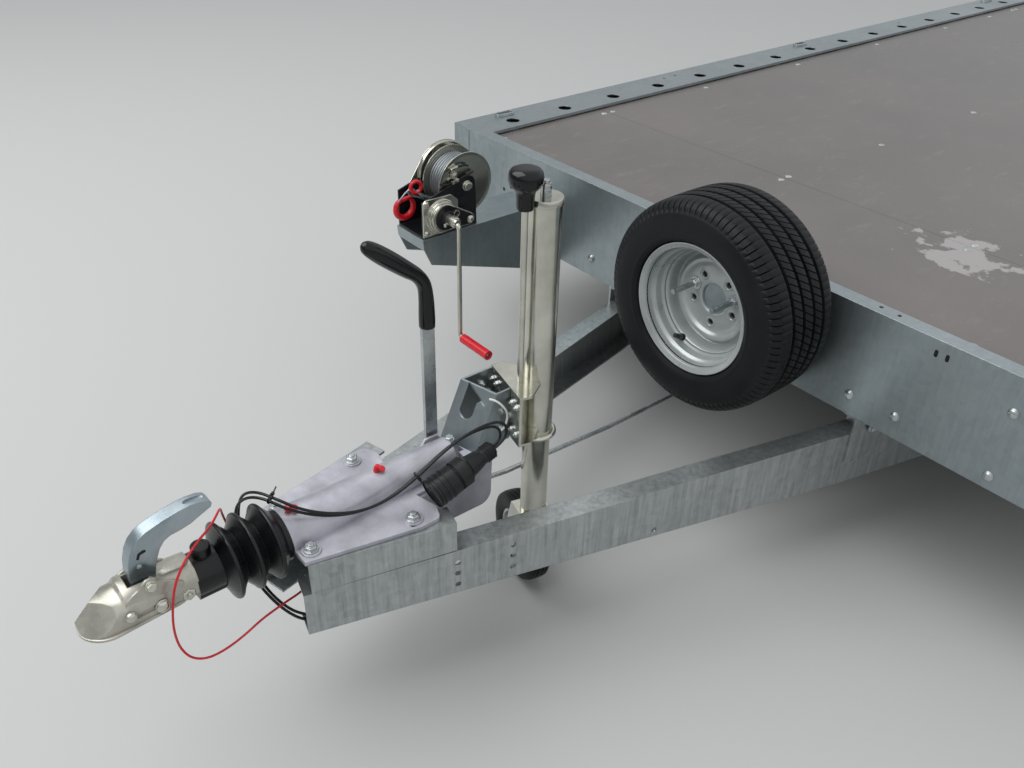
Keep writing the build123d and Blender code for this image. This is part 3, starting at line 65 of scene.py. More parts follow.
# Places of the solids in millimetres, y from the panel's face
DECK_Z = 608.0
RAIL_Z = 620.0
STAY_X, STAY_Y = 35, -596
SPARE_X, SPARE_NUT_Y, SPARE_Z = 55, -124, 559
BOLT_CIRCLE_RADIUS, VALVE_CIRCLE_RADIUS = 56, 112
JOCKEY_SWIVEL = math.radians(-15.0)
JOCKEY_TRAIL, JOCKEY_AXLE_Z = 47, 100
DRUM_Y, DRUM_Z = -268, 628
GEAR_Y, GEAR_Z = -352, 568
CRANK_Y, CRANK_Z = -345, 567
HOLE_SHADE_THICKNESS = 0.3
FORWARD = (0, -1, 0)
UP = (0, 0, 1)
# The drawbar's left beam runs in by its half gaps over its length
PANEL_HALF_GAP, NOSE_HALF_GAP, BEAM_REACH = 366.7, 81.0, 1140.0
BEAM_TURN = math.atan2(PANEL_HALF_GAP - NOSE_HALF_GAP, BEAM_REACH)
BEAM_RUN = Vector((math.sin(BEAM_TURN), math.cos(BEAM_TURN), 0))
BEAM_ACROSS = Vector((math.cos(BEAM_TURN), -math.sin(BEAM_TURN), 0))


def linear(hex_colour):
    """A colour written as sRGB hex, in Blender's linear values with alpha."""
    channels = [int(hex_colour[i:i + 2], 16) / 255 for i in (0, 2, 4)]
    return tuple(c / 12.92 if c <= 0.04045 else ((c + 0.055) / 1.055) ** 2.4
                 for c in channels) + (1.0,)


def feed(tree, node, inputs):
    """Give a node's inputs their values, or links from other nodes' sockets."""
    for name, value in inputs.items():
        socket = node.inputs[name]
        if isinstance(value, bpy.types.NodeSocket):
            tree.links.new(value, socket)
        else:
            socket.default_value = value


def add_node(tree, kind, settings=(), inputs=()):
    """Add a shader node. Settings are its properties, and inputs are values or other sockets."""
    node = tree.nodes.new("ShaderNode" + kind)
    for name, value in dict(settings).items():
        setattr(node, name, value)
    feed(tree, node, dict(inputs))
    return node


def start_material(name):
    """An empty node material, its surface shader and its object coordinates."""
    material = bpy.data.materials.new(name)
    material.use_nodes = True
    tree = material.node_tree
    tree.nodes.clear()
    shader = add_node(tree, "BsdfPrincipled")
    add_node(tree, "OutputMaterial", inputs={"Surface": shader.outputs["BSDF"]})
    place = add_node(tree, "TexCoord").outputs["Object"]
    return material, tree, shader, place


def galvanised_steel(name, low, high, streaks, metallic):
    """Hot-dip galvanised steel: matt bluish zinc with faint spangles of about 15 mm, and run
    marks down the uprights where it drained."""
    material, tree, shader, place = start_material(name)
    spangle = add_node(tree, "TexVoronoi", inputs={"Vector": place, "Scale": 68.0})
    cloud = add_node(tree, "TexNoise", inputs={
        "Vector": place, "Scale": 3.2, "Detail": 5.0, "Roughness": 0.65})
    drained = add_node(tree, "Mapping", inputs={"Vector": place, "Scale": (95.0, 95.0, 7.0)})
    runs = add_node(tree, "TexNoise", inputs={
        "Vector": drained.outputs["Vector"], "Scale": 1.0, "Detail": 4.0, "Roughness": 0.7})
    marked = add_node(tree, "Mix", inputs={
        0: streaks, 2: cloud.outputs["Fac"], 3: runs.outputs["Fac"]})
    tone = add_node(tree, "Mix", inputs={
        0: 0.1, 2: marked.outputs[0], 3: spangle.outputs["Color"]})
    colour = add_node(tree, "MapRange", {"data_type": "FLOAT_VECTOR"}, {
        6: tone.outputs[0], 7: (0.34,) * 3, 8: (0.66,) * 3, 9: linear(low)[:3],
        10: linear(high)[:3]})
    roughness = add_node(tree, "MapRange", inputs={
        "Value": cloud.outputs["Fac"], "From Min": 0.3, "From Max": 0.7, "To Min": 0.4,
        "To Max": 0.27})
    dross = add_node(tree, "TexNoise", inputs={"Vector": place, "Scale": 420.0})
    edge = add_node(tree, "Bevel", {"samples": 4}, {"Radius": 0.0015})
    relief = add_node(tree, "Bump", inputs={
        "Strength": 0.25, "Distance": 0.00025, "Height": dross.outputs["Fac"],
        "Normal": edge.outputs["Normal"]})
    feed(tree, shader, {"Base Color": colour.outputs[1], "Roughness": roughness.outputs[0],
                        "Normal": relief.outputs["Normal"], "Metallic": metallic})
    return material


def film_faced_board():
    """Film-faced plywood: dark brown phenolic film with a fine pressed mesh, satin enough to
    carry the sky at a flat angle, grey where it has worn, and pale where puddles dried on it."""
    material, tree, shader, place = start_material("film faced plywood")
    cloud = add_node(tree, "TexNoise", inputs={
        "Vector": place, "Scale": 1.7, "Detail": 6.0, "Roughness": 0.6})
    film = add_node(tree, "MapRange", {"data_type": "FLOAT_VECTOR"}, {
        6: cloud.outputs["Fac"], 7: (0.35,) * 3, 8: (0.68,) * 3, 9: linear("4F4A47")[:3],
        10: linear("5E5855")[:3]})
    drawn_out = add_node(tree, "Mapping", inputs={"Vector": place, "Scale": (1.0, 0.35, 1.0)})
    scuff = add_node(tree, "TexNoise", inputs={
        "Vector": drawn_out.outputs["Vector"], "Scale": 30.0, "Detail": 6.0, "Roughness": 0.75})
    scuffed = add_node(tree, "MapRange", inputs={
        "Value": scuff.outputs["Fac"], "From Min": 0.56, "From Max": 0.78, "To Max": 0.4})
    worn = add_node(tree, "Mix", {"data_type": "RGBA"}, {
        0: scuffed.outputs[0], 6: film.outputs[1], 7: linear("807C79")})
    # Grit about 6 mm across
    grit = add_node(tree, "TexNoise", inputs={
        "Vector": place, "Scale": 160.0, "Detail": 3.0, "Roughness": 0.8})
    gritty = add_node(tree, "MapRange", inputs={
        "Value": grit.outputs["Fac"], "From Min": 0.66, "From Max": 0.76, "To Max": 0.28})
    flecked = add_node(tree, "Mix", {"data_type": "RGBA"}, {
        0: gritty.outputs[0], 6: worn.outputs[2], 7: linear("A19C98")})
    puddle_place = add_node(tree, "Mapping", inputs={
        "Vector": place, "Location": (-0.31, 1.10, 0.0), "Scale": (1.0, 1.0, 0.0)})
    ragged = add_node(tree, "TexNoise", inputs={
        "Vector": place, "Scale": 15.0, "Detail": 5.0, "Roughness": 0.6})
    spread = add_node(tree, "VectorMath", {"operation": "LENGTH"}, {
        0: puddle_place.outputs["Vector"]})
    shore = add_node(tree, "Math", {"operation": "MULTIPLY_ADD"}, {
        0: ragged.outputs["Fac"], 1: 0.62, 2: spread.outputs["Value"]})
    dried = add_node(tree, "MapRange", inputs={
        "Value": shore.outputs[0], "From Min": 0.375, "From Max": 0.395, "To Min": 0.62,
        "To Max": 0.0})
    colour = add_node(tree, "Mix", {"data_type": "RGBA"}, {
        0: dried.outputs[0], 6: flecked.outputs[2], 7: linear("A5A1A0")})
    # The pressed mesh is 1.5 mm, drawn at 3 mm so that it shows
    mesh = add_node(tree, "TexVoronoi", inputs={
        "Vector": place, "Scale": 330.0, "Randomness": 0.15})
    relief = add_node(tree, "Bump", inputs={
        "Strength": 0.22, "Distance": 0.0005, "Height": mesh.outputs["Distance"]})
    roughness = add_node(tree, "MapRange", inputs={
        "Value": cloud.outputs["Fac"], "From Min": 0.3, "From Max": 0.7, "To Min": 0.2,
        "To Max": 0.32})
    feed(tree, shader, {"Base Color": colour.outputs[2], "Roughness": roughness.outputs[0],
                        "Normal": relief.outputs["Normal"], "IOR": 1.7})
    return material


def clouded(name, low, high, metallic, rough, cloud, grain=(0.00005, 600.0), edge=0.0, ior=1.5):
    """A finish whose tone and gloss drift in clouds. The cloud is in clouds per metre, the grain
    is its depth in metres and its scale, and the edge is the radius that eases sharp corners."""
    material, tree, shader, place = start_material(name)
    drift = add_node(tree, "TexNoise", inputs={
        "Vector": place, "Scale": cloud, "Detail": 6.0, "Roughness": 0.6})
    colour = add_node(tree, "MapRange", {"data_type": "FLOAT_VECTOR"}, {
        6: drift.outputs["Fac"], 7: (0.35,) * 3, 8: (0.65,) * 3, 9: linear(low)[:3],
        10: linear(high)[:3]})
    roughness = add_node(tree, "MapRange", inputs={
        "Value": drift.outputs["Fac"], "From Min": 0.35, "From Max": 0.65, "To Min": rough[0],
        "To Max": rough[1]})
    bumps = add_node(tree, "TexNoise", inputs={"Vector": place, "Scale": grain[1]})
    relief = add_node(tree, "Bump", inputs={
        "Strength": 0.4, "Distance": grain[0], "Height": bumps.outputs["Fac"]})
    if edge:
        eased = add_node(tree, "Bevel", {"samples": 4}, {"Radius": edge})
        tree.links.new(eased.outputs["Normal"], relief.inputs["Normal"])
    feed(tree, shader, {"Base Color": colour.outputs[1], "Roughness": roughness.outputs[0],
                        "Normal": relief.outputs["Normal"], "Metallic": metallic, "IOR": ior})
    return material


def twisted_wire():
    """Steel wire rope: dull bright wire, with its strands' furrows painted dark as shade."""
    material, tree, shader, place = start_material("twisted steel wire rope")
    # Furrows about 3 mm apart
    furrow = add_node(tree, "TexWave", {"bands_direction": "DIAGONAL"}, {
        "Vector": place, "Scale": 130.0, "Distortion": 1.0})
    # The furrows are painted darker than the wires' crowns, as shade
    colour = add_node(tree, "MapRange", {"data_type": "FLOAT_VECTOR"}, {
        6: furrow.outputs["Fac"], 7: (0.2,) * 3, 8: (0.8,) * 3, 9: linear("4A4E52")[:3],
        10: linear("A4A9AC")[:3]})
    relief = add_node(tree, "Bump", inputs={
        "Strength": 0.6, "Distance": 0.0004, "Height": furrow.outputs["Fac"]})
    feed(tree, shader, {"Base Color": colour.outputs[1], "Normal": relief.outputs["Normal"],
                        "Metallic": 0.8, "Roughness": 0.36})
    return material


# Each row is a slot of the record or a variant of one
MATERIALS = {
    "galvanised": galvanised_steel("hot dip galvanised sheet", "8B9598", "A6AFB2", 0.35, 0.9),
    "galvanised_streaked": galvanised_steel("hot dip galvanised section", "8F9595", "BABEBE",
                                            0.75, 0.85),
    "deck_board": film_faced_board(),
    # Carbon-filled rubber straight from the mould: near black with a soft sheen
    "tyre": clouded("tyre rubber", "0D0E0F", "141517", 0.0, (0.42, 0.56), 14.0, (0.0002, 900.0),
                    ior=1.32),
    # Sprayed silver lacquer: metal flake under a satin film
    "rim": clouded("silver wheel lacquer", "A3A8A8", "B4B9B9", 0.45, (0.26, 0.36), 10.0,
                   (0.0001, 500.0), 0.001),
    # Zinc-nickel plate on a rough pressing: warm grey, half bright
    "zinc_nickel": clouded("zinc nickel plate", "9C9A90", "BAB7AC", 0.6, (0.24, 0.36), 24.0,
                           (0.0001, 700.0), 0.002),
    # Bright zinc plate: a pale mirror dulled by handling
    "zinc": clouded("bright zinc plate", "A9AEAF", "C6CACB", 0.9, (0.2, 0.33), 16.0,
                    edge=0.0012),
    # Clear passivated zinc: brighter, with a faint straw tint
    "zinc_yellow": clouded("passivated zinc plate", "B4B3A8", "D0CFC4", 0.96, (0.14, 0.24), 12.0,
                           (0.00004, 400.0), 0.0012),
    # Blue passivated zinc: the same plate with a cold blue cast
    "zinc_blue": clouded("blue passivated zinc", "8F9CA3", "AAB5BA", 0.88, (0.24, 0.36), 14.0,
                         (0.00006, 400.0), 0.002),
    # Moulded rubber with the mould's gloss
    "black_rubber": clouded("moulded rubber", "08090A", "0F1012", 0.0, (0.22, 0.34), 20.0,
                            (0.0001, 700.0), 0.0012, 1.42),
    # Glass-filled polyamide: black with a fine leathery grain
    "black_plastic": clouded("moulded black polyamide", "0C0D0E", "141516", 0.0, (0.34, 0.46),
                             25.0, (0.0002, 900.0), 0.001, 1.4),
    # Vinyl dipped over the bar: wet-looking black
    "black_grip": clouded("dipped vinyl grip", "050607", "090A0B", 0.0, (0.12, 0.2), 12.0,
                          ior=1.42),
    # Powder coat: even black with slight orange peel
    "black_paint": clouded("black powder coat", "101214", "1A1C1F", 0.1, (0.24, 0.36), 30.0,
                           (0.0001, 500.0), 0.001),
    # Moulded polyamide coloured through: even red with a soft gloss
    "red_plastic": clouded("moulded red polyamide", "B81420", "CB1A27", 0.0, (0.24, 0.36), 25.0,
                           edge=0.001),
    # Cast aluminium, blasted: pale and faintly violet, with the casting's 4 mm grain
    "housing_grey": clouded("cast aluminium", "A3A3AB", "BCBCC4", 0.6, (0.34, 0.48), 18.0,
                            (0.0006, 260.0), 0.002),
    "rope": twisted_wire(),
    # Extruded aluminium as it leaves the mill: bright and soft-edged
    "aluminium": clouded("mill finish aluminium", "B4B8BA", "CFD2D3", 0.9, (0.3, 0.42), 9.0,
                         edge=0.001),
    # Moulded acrylic: deep red with a hard gloss
    "lens": clouded("moulded red acrylic lens", "9A0E12", "B01418", 0.0, (0.08, 0.14), 9.0),
    # White acrylic sheet: even and smooth
    "plate_blank": clouded("white acrylic plate", "D9D9D2", "E4E4DE", 0.0, (0.3, 0.36), 9.0),
    # Uncoloured nylon: milky white
    "tie_white": clouded("natural nylon", "DADBD6", "E6E7E2", 0.0, (0.35, 0.45), 30.0),
}
NODE_LOOKS = {
    "drawbar_beam_left": "galvanised_streaked", "drawbar_beam_right": "galvanised_streaked",
    "drawbar_brackets": "galvanised_streaked", "jockey_clamp": "zinc_yellow",
    "jockey_outer_tube": "zinc_yellow", "jockey_leg": "zinc_yellow",
    "jockey_lock_rod": "zinc_yellow", "winch_frame": "black_paint", "winch_drum": "zinc_yellow",
    "winch_crank": "zinc_yellow",
}

# The cords' routes keep within 10 mm of their solids: x, y from the panel's face, z
LEAD_ROUTES = {
    "plug_lead_upper": (
        (79, -741, 464), (79, -724, 469.07), (75, -717, 486),
        (71, -727, 501), (67, -752, 505), (63, -794, 502),
        (61, -838, 489), (61, -884, 466), (62, -930, 447),
        (62, -978, 437), (55, -1031, 440), (40, -1082, 455),
        (14, -1122, 474), (-20, -1143, 485), (-56, -1158, 471),
        (-80, -1170, 442), (-86, -1174, 400), (-72, -1178, 358),
        (-40, -1180, 326), (2, -1174, 300), (40, -1155, 272),
        (62, -1130, 254), (74, -1100, 249.2)),
    "plug_lead_lower": (
        (85, -741, 464), (85, -726, 468.48), (84, -710, 482),
        (79, -709, 502), (74, -727, 513), (70, -762, 513),
        (67, -806, 504), (67, -852, 486), (68, -900, 463),
        (69, -948, 447), (66, -1000, 442), (54, -1052, 452),
        (32, -1100, 471), (-2, -1130, 489), (-40, -1145, 487),
        (-74, -1158, 466), (-92, -1163, 424), (-90, -1168, 378),
        (-66, -1170, 336), (-26, -1170, 306), (16, -1158, 280),
        (46, -1134, 258), (62, -1102, 249.2)),
}
CABLE_ROUTE = (
    (36, -1092, 400.3), (36, -1090, 368), (35, -1092, 333),
    (33, -1103, 307), (31, -1126, 295), (38, -1156, 298),
    (46, -1204, 296), (50, -1241, 283), (54, -1277, 278),
    (56, -1308, 281), (56, -1332, 299), (54, -1345, 331),
    (52, -1347, 372), (50, -1340, 415), (48, -1328, 456),
    (42, -1305, 486), (28, -1275, 500), (3, -1246, 493),
    (-27, -1222, 485), (-57, -1204, 472), (-76, -1197, 441),
    (-79, -1190, 405), (-67, -1177, 369), (-52, -1152, 349),
    (-58, -1112, 343.9))


class TrailerSettings(bpy.types.PropertyGroup):
    lens: bpy.props.FloatProperty(name="Lens", description="Focal length of the camera",
                                  default=33.46, unit="CAMERA")
    azimuth: bpy.props.FloatProperty(name="Azimuth", description="Heading of the camera",
                                     default=math.radians(50.295), subtype="ANGLE")
    elevation: bpy.props.FloatProperty(name="Elevation", description="Camera's look down",
                                       default=math.radians(33.586), subtype="ANGLE")
    roll: bpy.props.FloatProperty(name="Roll", description="Camera's roll",
                                  default=math.radians(1.374), subtype="ANGLE")
    floor: bpy.props.FloatVectorProperty(name="Floor", description="Colour of the floor",
                                         default=linear("B2B3B2")[:3], subtype="COLOR")
    lead_radius: bpy.props.FloatProperty(name="Lead radius",
                                         description="Radius of the plug's leads",
                                         default=0.0026, unit="LENGTH")
    cable_radius: bpy.props.FloatProperty(name="Cable radius",
                                          description="Radius of the breakaway cable",
                                          default=0.002, unit="LENGTH")


def spot(x, y, z):
    """A point in metres from millimetres, with y counted from the front panel's face."""
    return Vector((x * MM, PANEL_Y + y * MM, z * MM))


def stand(origin, direction=UP, along=(0, 1, 0)):
    """A frame in millimetres at a point: its Z is a direction, its Y as near `along` as can be."""
    z = Vector(direction).normalized()
    x = Vector(along).cross(z).normalized()
    y = z.cross(x)
    matrix = Matrix((x, y, z)).transposed().to_4x4()
    matrix.translation = origin
    return matrix @ Matrix.Scale(MM, 4)


def facing(x, y, z, direction=(1, 0, 0)):
    """A frame at a point in millimetres that looks along a direction, its Y upwards."""
    return stand(spot(x, y, z), direction, UP)


def spun(form, outline, matrix, steps=24, closed=False):
    """Spin an outline of (radius, height) pairs about a frame's Z axis."""
    verts = [form.verts.new(matrix @ Vector((radius, 0, height))) for radius, height in outline]
    edges = [form.edges.new(pair) for pair in zip(verts, verts[1:])]
    if closed:
        edges.append(form.edges.new((verts[-1], verts[0])))
    bmesh.ops.spin(form, geom=verts + edges, cent=matrix.translation,
                   axis=matrix.col[2].xyz.normalized(), angle=2 * math.pi, steps=steps,
                   use_merge=True)


def disc(form, matrix, radius, low, high, steps=20, chamfer=0.5):
    """A round bar or washer between two heights, its far edge chamfered."""
    spun(form, ((0, low), (radius, low), (radius, high - chamfer), (radius - chamfer, high),
                (0, high)), matrix, steps)


def slab(form, outline, matrix, depth, bevel=0.0):
    """A flat outline in a frame's XY, extruded along its Z, its edges bevelled."""
    face = form.faces.new([form.verts.new(matrix @ Vector((x, y, 0))) for x, y in outline])
    grown = bmesh.ops.extrude_face_region(form, geom=[face])["geom"]
    top = [item for item in grown if isinstance(item, bmesh.types.BMVert)]
    bmesh.ops.translate(form, verts=top, vec=matrix.to_3x3() @ Vector((0, 0, depth)))
    if bevel:
        edges = {edge for vert in top for edge in vert.link_edges}
        bmesh.ops.bevel(form, geom=list(edges), offset=bevel * MM, segments=2, profile=0.5,
                        affect="EDGES", material=-1)


def hexagon(form, matrix, across, low, high):
    """A hexagon head or nut between two heights, with its corners chamfered."""
    made = bmesh.ops.create_cone(form, cap_ends=True, segments=6, radius1=across / math.sqrt(3),
                                 radius2=across / math.sqrt(3), depth=high - low,
                                 matrix=matrix @ Matrix.Translation((0, 0, (high + low) / 2)))
    top = matrix @ Vector((0, 0, high))
    up = matrix.col[2].xyz.normalized()
    rim = {edge for vert in made["verts"] for edge in vert.link_edges
           if all(abs((v.co - top).dot(up)) < 1e-6 for v in edge.verts)}
    bmesh.ops.bevel(form, geom=list(rim), offset=across * 0.07 * MM, segments=1, profile=0.5,
                    affect="EDGES", material=-1)


def bolt(form, matrix, size, washer=True, stub=0.0, dome=False):
    """A bolt's head or a nut of a thread size on its washer, with a stub of thread beyond it."""
    low = size * 0.2 if washer else 0.0
    if washer:
        disc(form, matrix, size * 1.1, -0.3, low)
    if dome:
        spun(form, ((0, low), (size, low), (size * 0.95, low + size * 0.22),
                    (size * 0.6, low + size * 0.5), (0, low + size * 0.6)), matrix, 20)
        return
    hexagon(form, matrix, size * 1.6, low - 0.2, low + size * 0.62)
    if stub:
        disc(form, matrix, size * 0.48, low, low + size * 0.62 + stub, 14, size * 0.08)


def finished(name, form, slot, body="chassis", look=None, angle=32.0):
    """Make a form a piece of the trailer, with the material of its slot or look, and its body."""
    bmesh.ops.remove_doubles(form, verts=form.verts, dist=2e-6)
    bmesh.ops.recalc_face_normals(form, faces=form.faces)
    mesh = bpy.data.meshes.new(name)
    form.to_mesh(mesh)
    form.free()
    mesh.shade_smooth()
    mesh.set_sharp_from_angle(angle=math.radians(angle))
    obj = bpy.data.objects.new(name, mesh)
    bpy.context.scene.collection.objects.link(obj)
    mesh.materials.append(MATERIALS[look or slot])
    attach(obj, body)
    return obj


def tube(name, points, depth, facets, steps, order=3, cyclic=False):
    """A NURBS curve with a round section through (x, y, z, share of the depth) points."""
    curve = bpy.data.curves.new(name, "CURVE")
    curve.dimensions = "3D"
    curve.bevel_depth = depth
    curve.bevel_resolution = facets
    curve.use_fill_caps = True
    spline = curve.splines.new("NURBS")
    spline.points.add(len(points) - 1)
    for point, (x, y, z, share) in zip(spline.points, points):
        point.co = (*spot(x, y, z), 1.0)
        point.radius = share
    spline.order_u = order
    spline.use_endpoint_u = not cyclic
    spline.use_cyclic_u = cyclic
    spline.resolution_u = steps
    return bpy.data.objects.new(name, curve)


def flexible(name, points, radius, slot):
    """A cord of the chassis that follows a route."""
    obj = tube(name, [(*place, 1.0) for place in points], radius, 4, 8)
    bpy.context.scene.collection.objects.link(obj)
    obj.data.materials.append(MATERIALS[slot])
    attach(obj, "chassis")
    return obj


def rod(form, points, cyclic=False, order=3):
    """Sweep a round bar through points in millimetres, each (x, y from the panel, z, radius)."""
    swept = tube("rod", points, MM, 3, 6, order, cyclic)
    form.from_mesh(bpy.data.meshes.new_from_object(swept))
    bpy.data.objects.remove(swept)


class TRAILER_OT_stage(bpy.types.Operator):
    """Set up the floor, the lights and the camera"""
    bl_idname = "trailer.stage"
    bl_label = "Stage"

    def execute(self, context):
        settings = context.scene.trailer_settings
        scene = context.scene
        camera_data = bpy.data.cameras.new("camera")
        camera_data.sensor_width = 36.0
        camera_data.lens = settings.lens
        camera = bpy.data.objects.new("camera", camera_data)
        turn = (Matrix.Rotation(settings.azimuth, 4, "Z")
                @ Matrix.Rotation(math.pi / 2 - settings.elevation, 4, "X")
                @ Matrix.Rotation(settings.roll, 4, "Z"))
        camera.matrix_world = Matrix.Translation(CAMERA_PLACE) @ turn
        scene.collection.objects.link(camera)
        scene.camera = camera
        scene.view_settings.view_transform = "Standard"
        floor_mesh = bpy.data.meshes.new("floor")
        form = bmesh.new()
        bmesh.ops.create_grid(form, x_segments=1, y_segments=1, size=FLOOR_HALF_SIZE)
        form.to_mesh(floor_mesh)
        form.free()
        floor = bpy.data.objects.new("floor", floor_mesh)
        scene.collection.objects.link(floor)
        material = bpy.data.materials.new("pale floor")
        material.use_nodes = True
        shader = material.node_tree.nodes["Principled BSDF"]
        shader.inputs["Base Color"].default_value = (*settings.floor, 1.0)
        shader.inputs["Roughness"].default_value = 0.9
        floor_mesh.materials.append(material)
        world = bpy.data.worlds.new("soft sky")
        world.use_nodes = True
        tree = world.node_tree
        outlook = add_node(tree, "TexCoord")
        height = add_node(tree, "VectorMath", {"operation": "DOT_PRODUCT"}, {
            0: outlook.outputs["Generated"], 1: (0.35, 0.2, 1.0)})
        sky = add_node(tree, "MapRange", {"data_type": "FLOAT_VECTOR"}, {
            6: height.outputs["Value"], 7: (0.0,) * 3, 8: (0.5,) * 3,
            9: linear("999DA0")[:3], 10: linear("FBFDFF")[:3]})
        background = tree.nodes["Background"]
        tree.links.new(sky.outputs[1], background.inputs["Color"])
        background.inputs["Strength"].default_value = 0.85
        scene.world = world
        lamp_data = bpy.data.lights.new("overcast", "AREA")
        lamp_data.energy = 330.0
        lamp_data.size = 6.0
        lamp = bpy.data.objects.new("overcast", lamp_data)
        lamp.location = LAMP_PLACE
        lamp.rotation_euler = (LAMP_AIM - LAMP_PLACE).to_track_quat("-Z", "Y").to_euler()
        scene.collection.objects.link(lamp)
        return {"FINISHED"}


class TRAILER_OT_cords(bpy.types.Operator):
    """Lay the plug's leads and the breakaway cable"""
    bl_idname = "trailer.cords"
    bl_label = "Cords"

    def execute(self, context):
        settings = context.scene.trailer_settings
        upper = flexible("lead_upper", LEAD_ROUTES["plug_lead_upper"], settings.lead_radius,
                         "black_rubber")
        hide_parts("plug_lead_upper")
        lower = flexible("lead_lower", LEAD_ROUTES["plug_lead_lower"], settings.lead_radius,
                         "black_rubber")
        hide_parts("plug_lead_lower")
        cable = flexible("breakaway_wire", CABLE_ROUTE, settings.cable_radius, "red_plastic")
        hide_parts("breakaway_cable")
        return {"FINISHED"}


# A road tyre's outline from its crown's middle outwards: place along the axle, radius, and how
# deep a sipe cuts there
TREAD_ROWS = ((0, 234, 3.5), (10.5, 234, 3.5), (11.8, 233.4, 3), (12.8, 226, 0), (19.2, 226, 0),
              (20.2, 233.4, 3), (21.4, 233.9, 3.5), (31, 233.8, 3.5), (41, 233.5, 3.5),
              (42.2, 233, 3), (43.2, 226, 0), (50.2, 226, 0), (51.4, 232.8, 0.6),
              (52.8, 233.2, 0.8), (60, 232.6, 0.8), (68, 231.6, 0.8), (74, 230.2, 1.5),
              (80, 227.8, 4.5), (86, 223.5, 5), (90, 218, 4),
              (93, 212, 2), (94.6, 207, 0), (95.6, 205.5, 0), (96.2, 203, 0), (97.6, 197, 0),
              (98.4, 190, 0), (98.5, 182, 0), (98, 173, 0), (97.2, 166, 0), (96.2, 162, 0),
              (96.6, 160.5, 0), (95.4, 157, 0), (93.4, 152, 0), (91.2, 148.6, 0), (87, 147.4, 0),
              (82, 145.4, 0), (80, 138, 0), (77.5, 129.8, 0))


def road_tyre(name, node, body, centre, outward):
    """A road tyre with four grooves round its tread and slanted sipes across the ribs."""
    pitches = 92
    shares = (0.0, 0.82, 0.91)
    rows = list(TREAD_ROWS) + [(-u, r, d) for u, r, d in reversed(TREAD_ROWS[1:])]
    matrix = stand(centre, outward, UP)
    form = bmesh.new()
    layer = form.verts.layers.float.new("cut")
    edges = []
    verts = []
    for u, radius, depth in rows:
        vert = form.verts.new(matrix @ Vector((radius, 0, u)))
        vert[layer] = depth
        verts.append(vert)
    for pair in zip(verts, verts[1:] + verts[:1]):
        edges.append(form.edges.new(pair))
    columns = pitches * len(shares)
    bmesh.ops.spin(form, geom=verts + edges, cent=matrix.translation,
                   axis=matrix.col[2].xyz.normalized(), angle=2 * math.pi, steps=columns,
                   use_merge=True)
    inverse = matrix.inverted()
    for vert in form.verts:
        x, y, u = inverse @ vert.co
        radius = math.hypot(x, y)
        column = round(math.atan2(y, x) / (2 * math.pi) * columns) % columns
        pitch, share = divmod(column, len(shares))
        slant = max(-52.0, min(52.0, u)) / 26
        turn = 2 * math.pi / pitches * (pitch + shares[share] + slant)
        if share == 2:
            radius -= vert[layer]
            if abs(u) > 80:
                u -= math.copysign(vert[layer] * 0.5, u)
        vert.co = matrix @ Vector((radius * math.cos(turn), radius * math.sin(turn), u))
    piece = finished(name, form, "tyre", body, angle=40.0)
    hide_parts(node)


class TRAILER_OT_tyres(bpy.types.Operator):
    """Cut the treads of the road tyres, the spare tyre and the jockey wheel's tyre"""
    bl_idname = "trailer.tyres"
    bl_label = "Tyres"

    def execute(self, context):
        for row in ("front", "rear"):
            for side, sign in (("left", 1), ("right", -1)):
                low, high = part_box(f"tyre_{row}_{side}")
                road_tyre(f"tread_{row}_{side}", f"tyre_{row}_{side}", f"wheel_{row}_{side}",
                          (low + high) / 2, (sign, 0, 0))
        low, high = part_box("spare_tyre")
        road_tyre("tread_spare", "spare_tyre", "chassis", (low + high) / 2, (0, -1, 0))
        # The jockey wheel's tyre has five ribs
        across, along = math.cos(JOCKEY_SWIVEL), math.sin(JOCKEY_SWIVEL)
        matrix = facing(STAY_X - JOCKEY_TRAIL * across, STAY_Y - JOCKEY_TRAIL * along,
                        JOCKEY_AXLE_Z, (-along, across, 0))
        half = [(100, 3.5), (97.6, 4.6), (97.6, 6.4), (99.8, 7.5), (99.4, 12), (97, 13.1),
                (97, 14.9), (98.6, 16), (97, 20.5), (94.5, 22.6), (90, 24.2), (84, 24.9),
                (76, 25), (71, 24.4), (66, 23), (62.4, 21.8)]
        form = bmesh.new()
        spun(form, half + [(r, -u) for r, u in reversed(half)], matrix, 72, True)
        tyre = finished("jockey_tread", form, "black_rubber", "jockey_wheel", "tyre")
        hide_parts("jockey_wheel_tyre")
        return {"FINISHED"}


def cut(obj, form):
    """Cut a closed form out of a piece."""
    mesh = bpy.data.meshes.new("cutter")
    bmesh.ops.recalc_face_normals(form, faces=form.faces)
    form.to_mesh(mesh)
    form.free()
    cutter = bpy.data.objects.new("cutter", mesh)
    bpy.context.scene.collection.objects.link(cutter)
    modifier = obj.modifiers.new("cut", "BOOLEAN")
    modifier.operation = "DIFFERENCE"
    modifier.solver = "EXACT"
    modifier.object = cutter
    bpy.context.view_layer.update()
    cut_mesh = bpy.data.meshes.new_from_object(
        obj.evaluated_get(bpy.context.evaluated_depsgraph_get()))
    obj.modifiers.clear()
    obj.data = cut_mesh
    cut_mesh.shade_smooth()
    cut_mesh.set_sharp_from_angle(angle=math.radians(32.0))
    bpy.data.objects.remove(cutter)


def round_over(obj, width):
    """Ease a piece's sharp edges."""
    bevel = obj.modifiers.new("eased edges", "BEVEL")
    bevel.width = width * MM
    bevel.segments = 3
    bevel.limit_method = "ANGLE"
    bevel.angle_limit = math.radians(38.0)


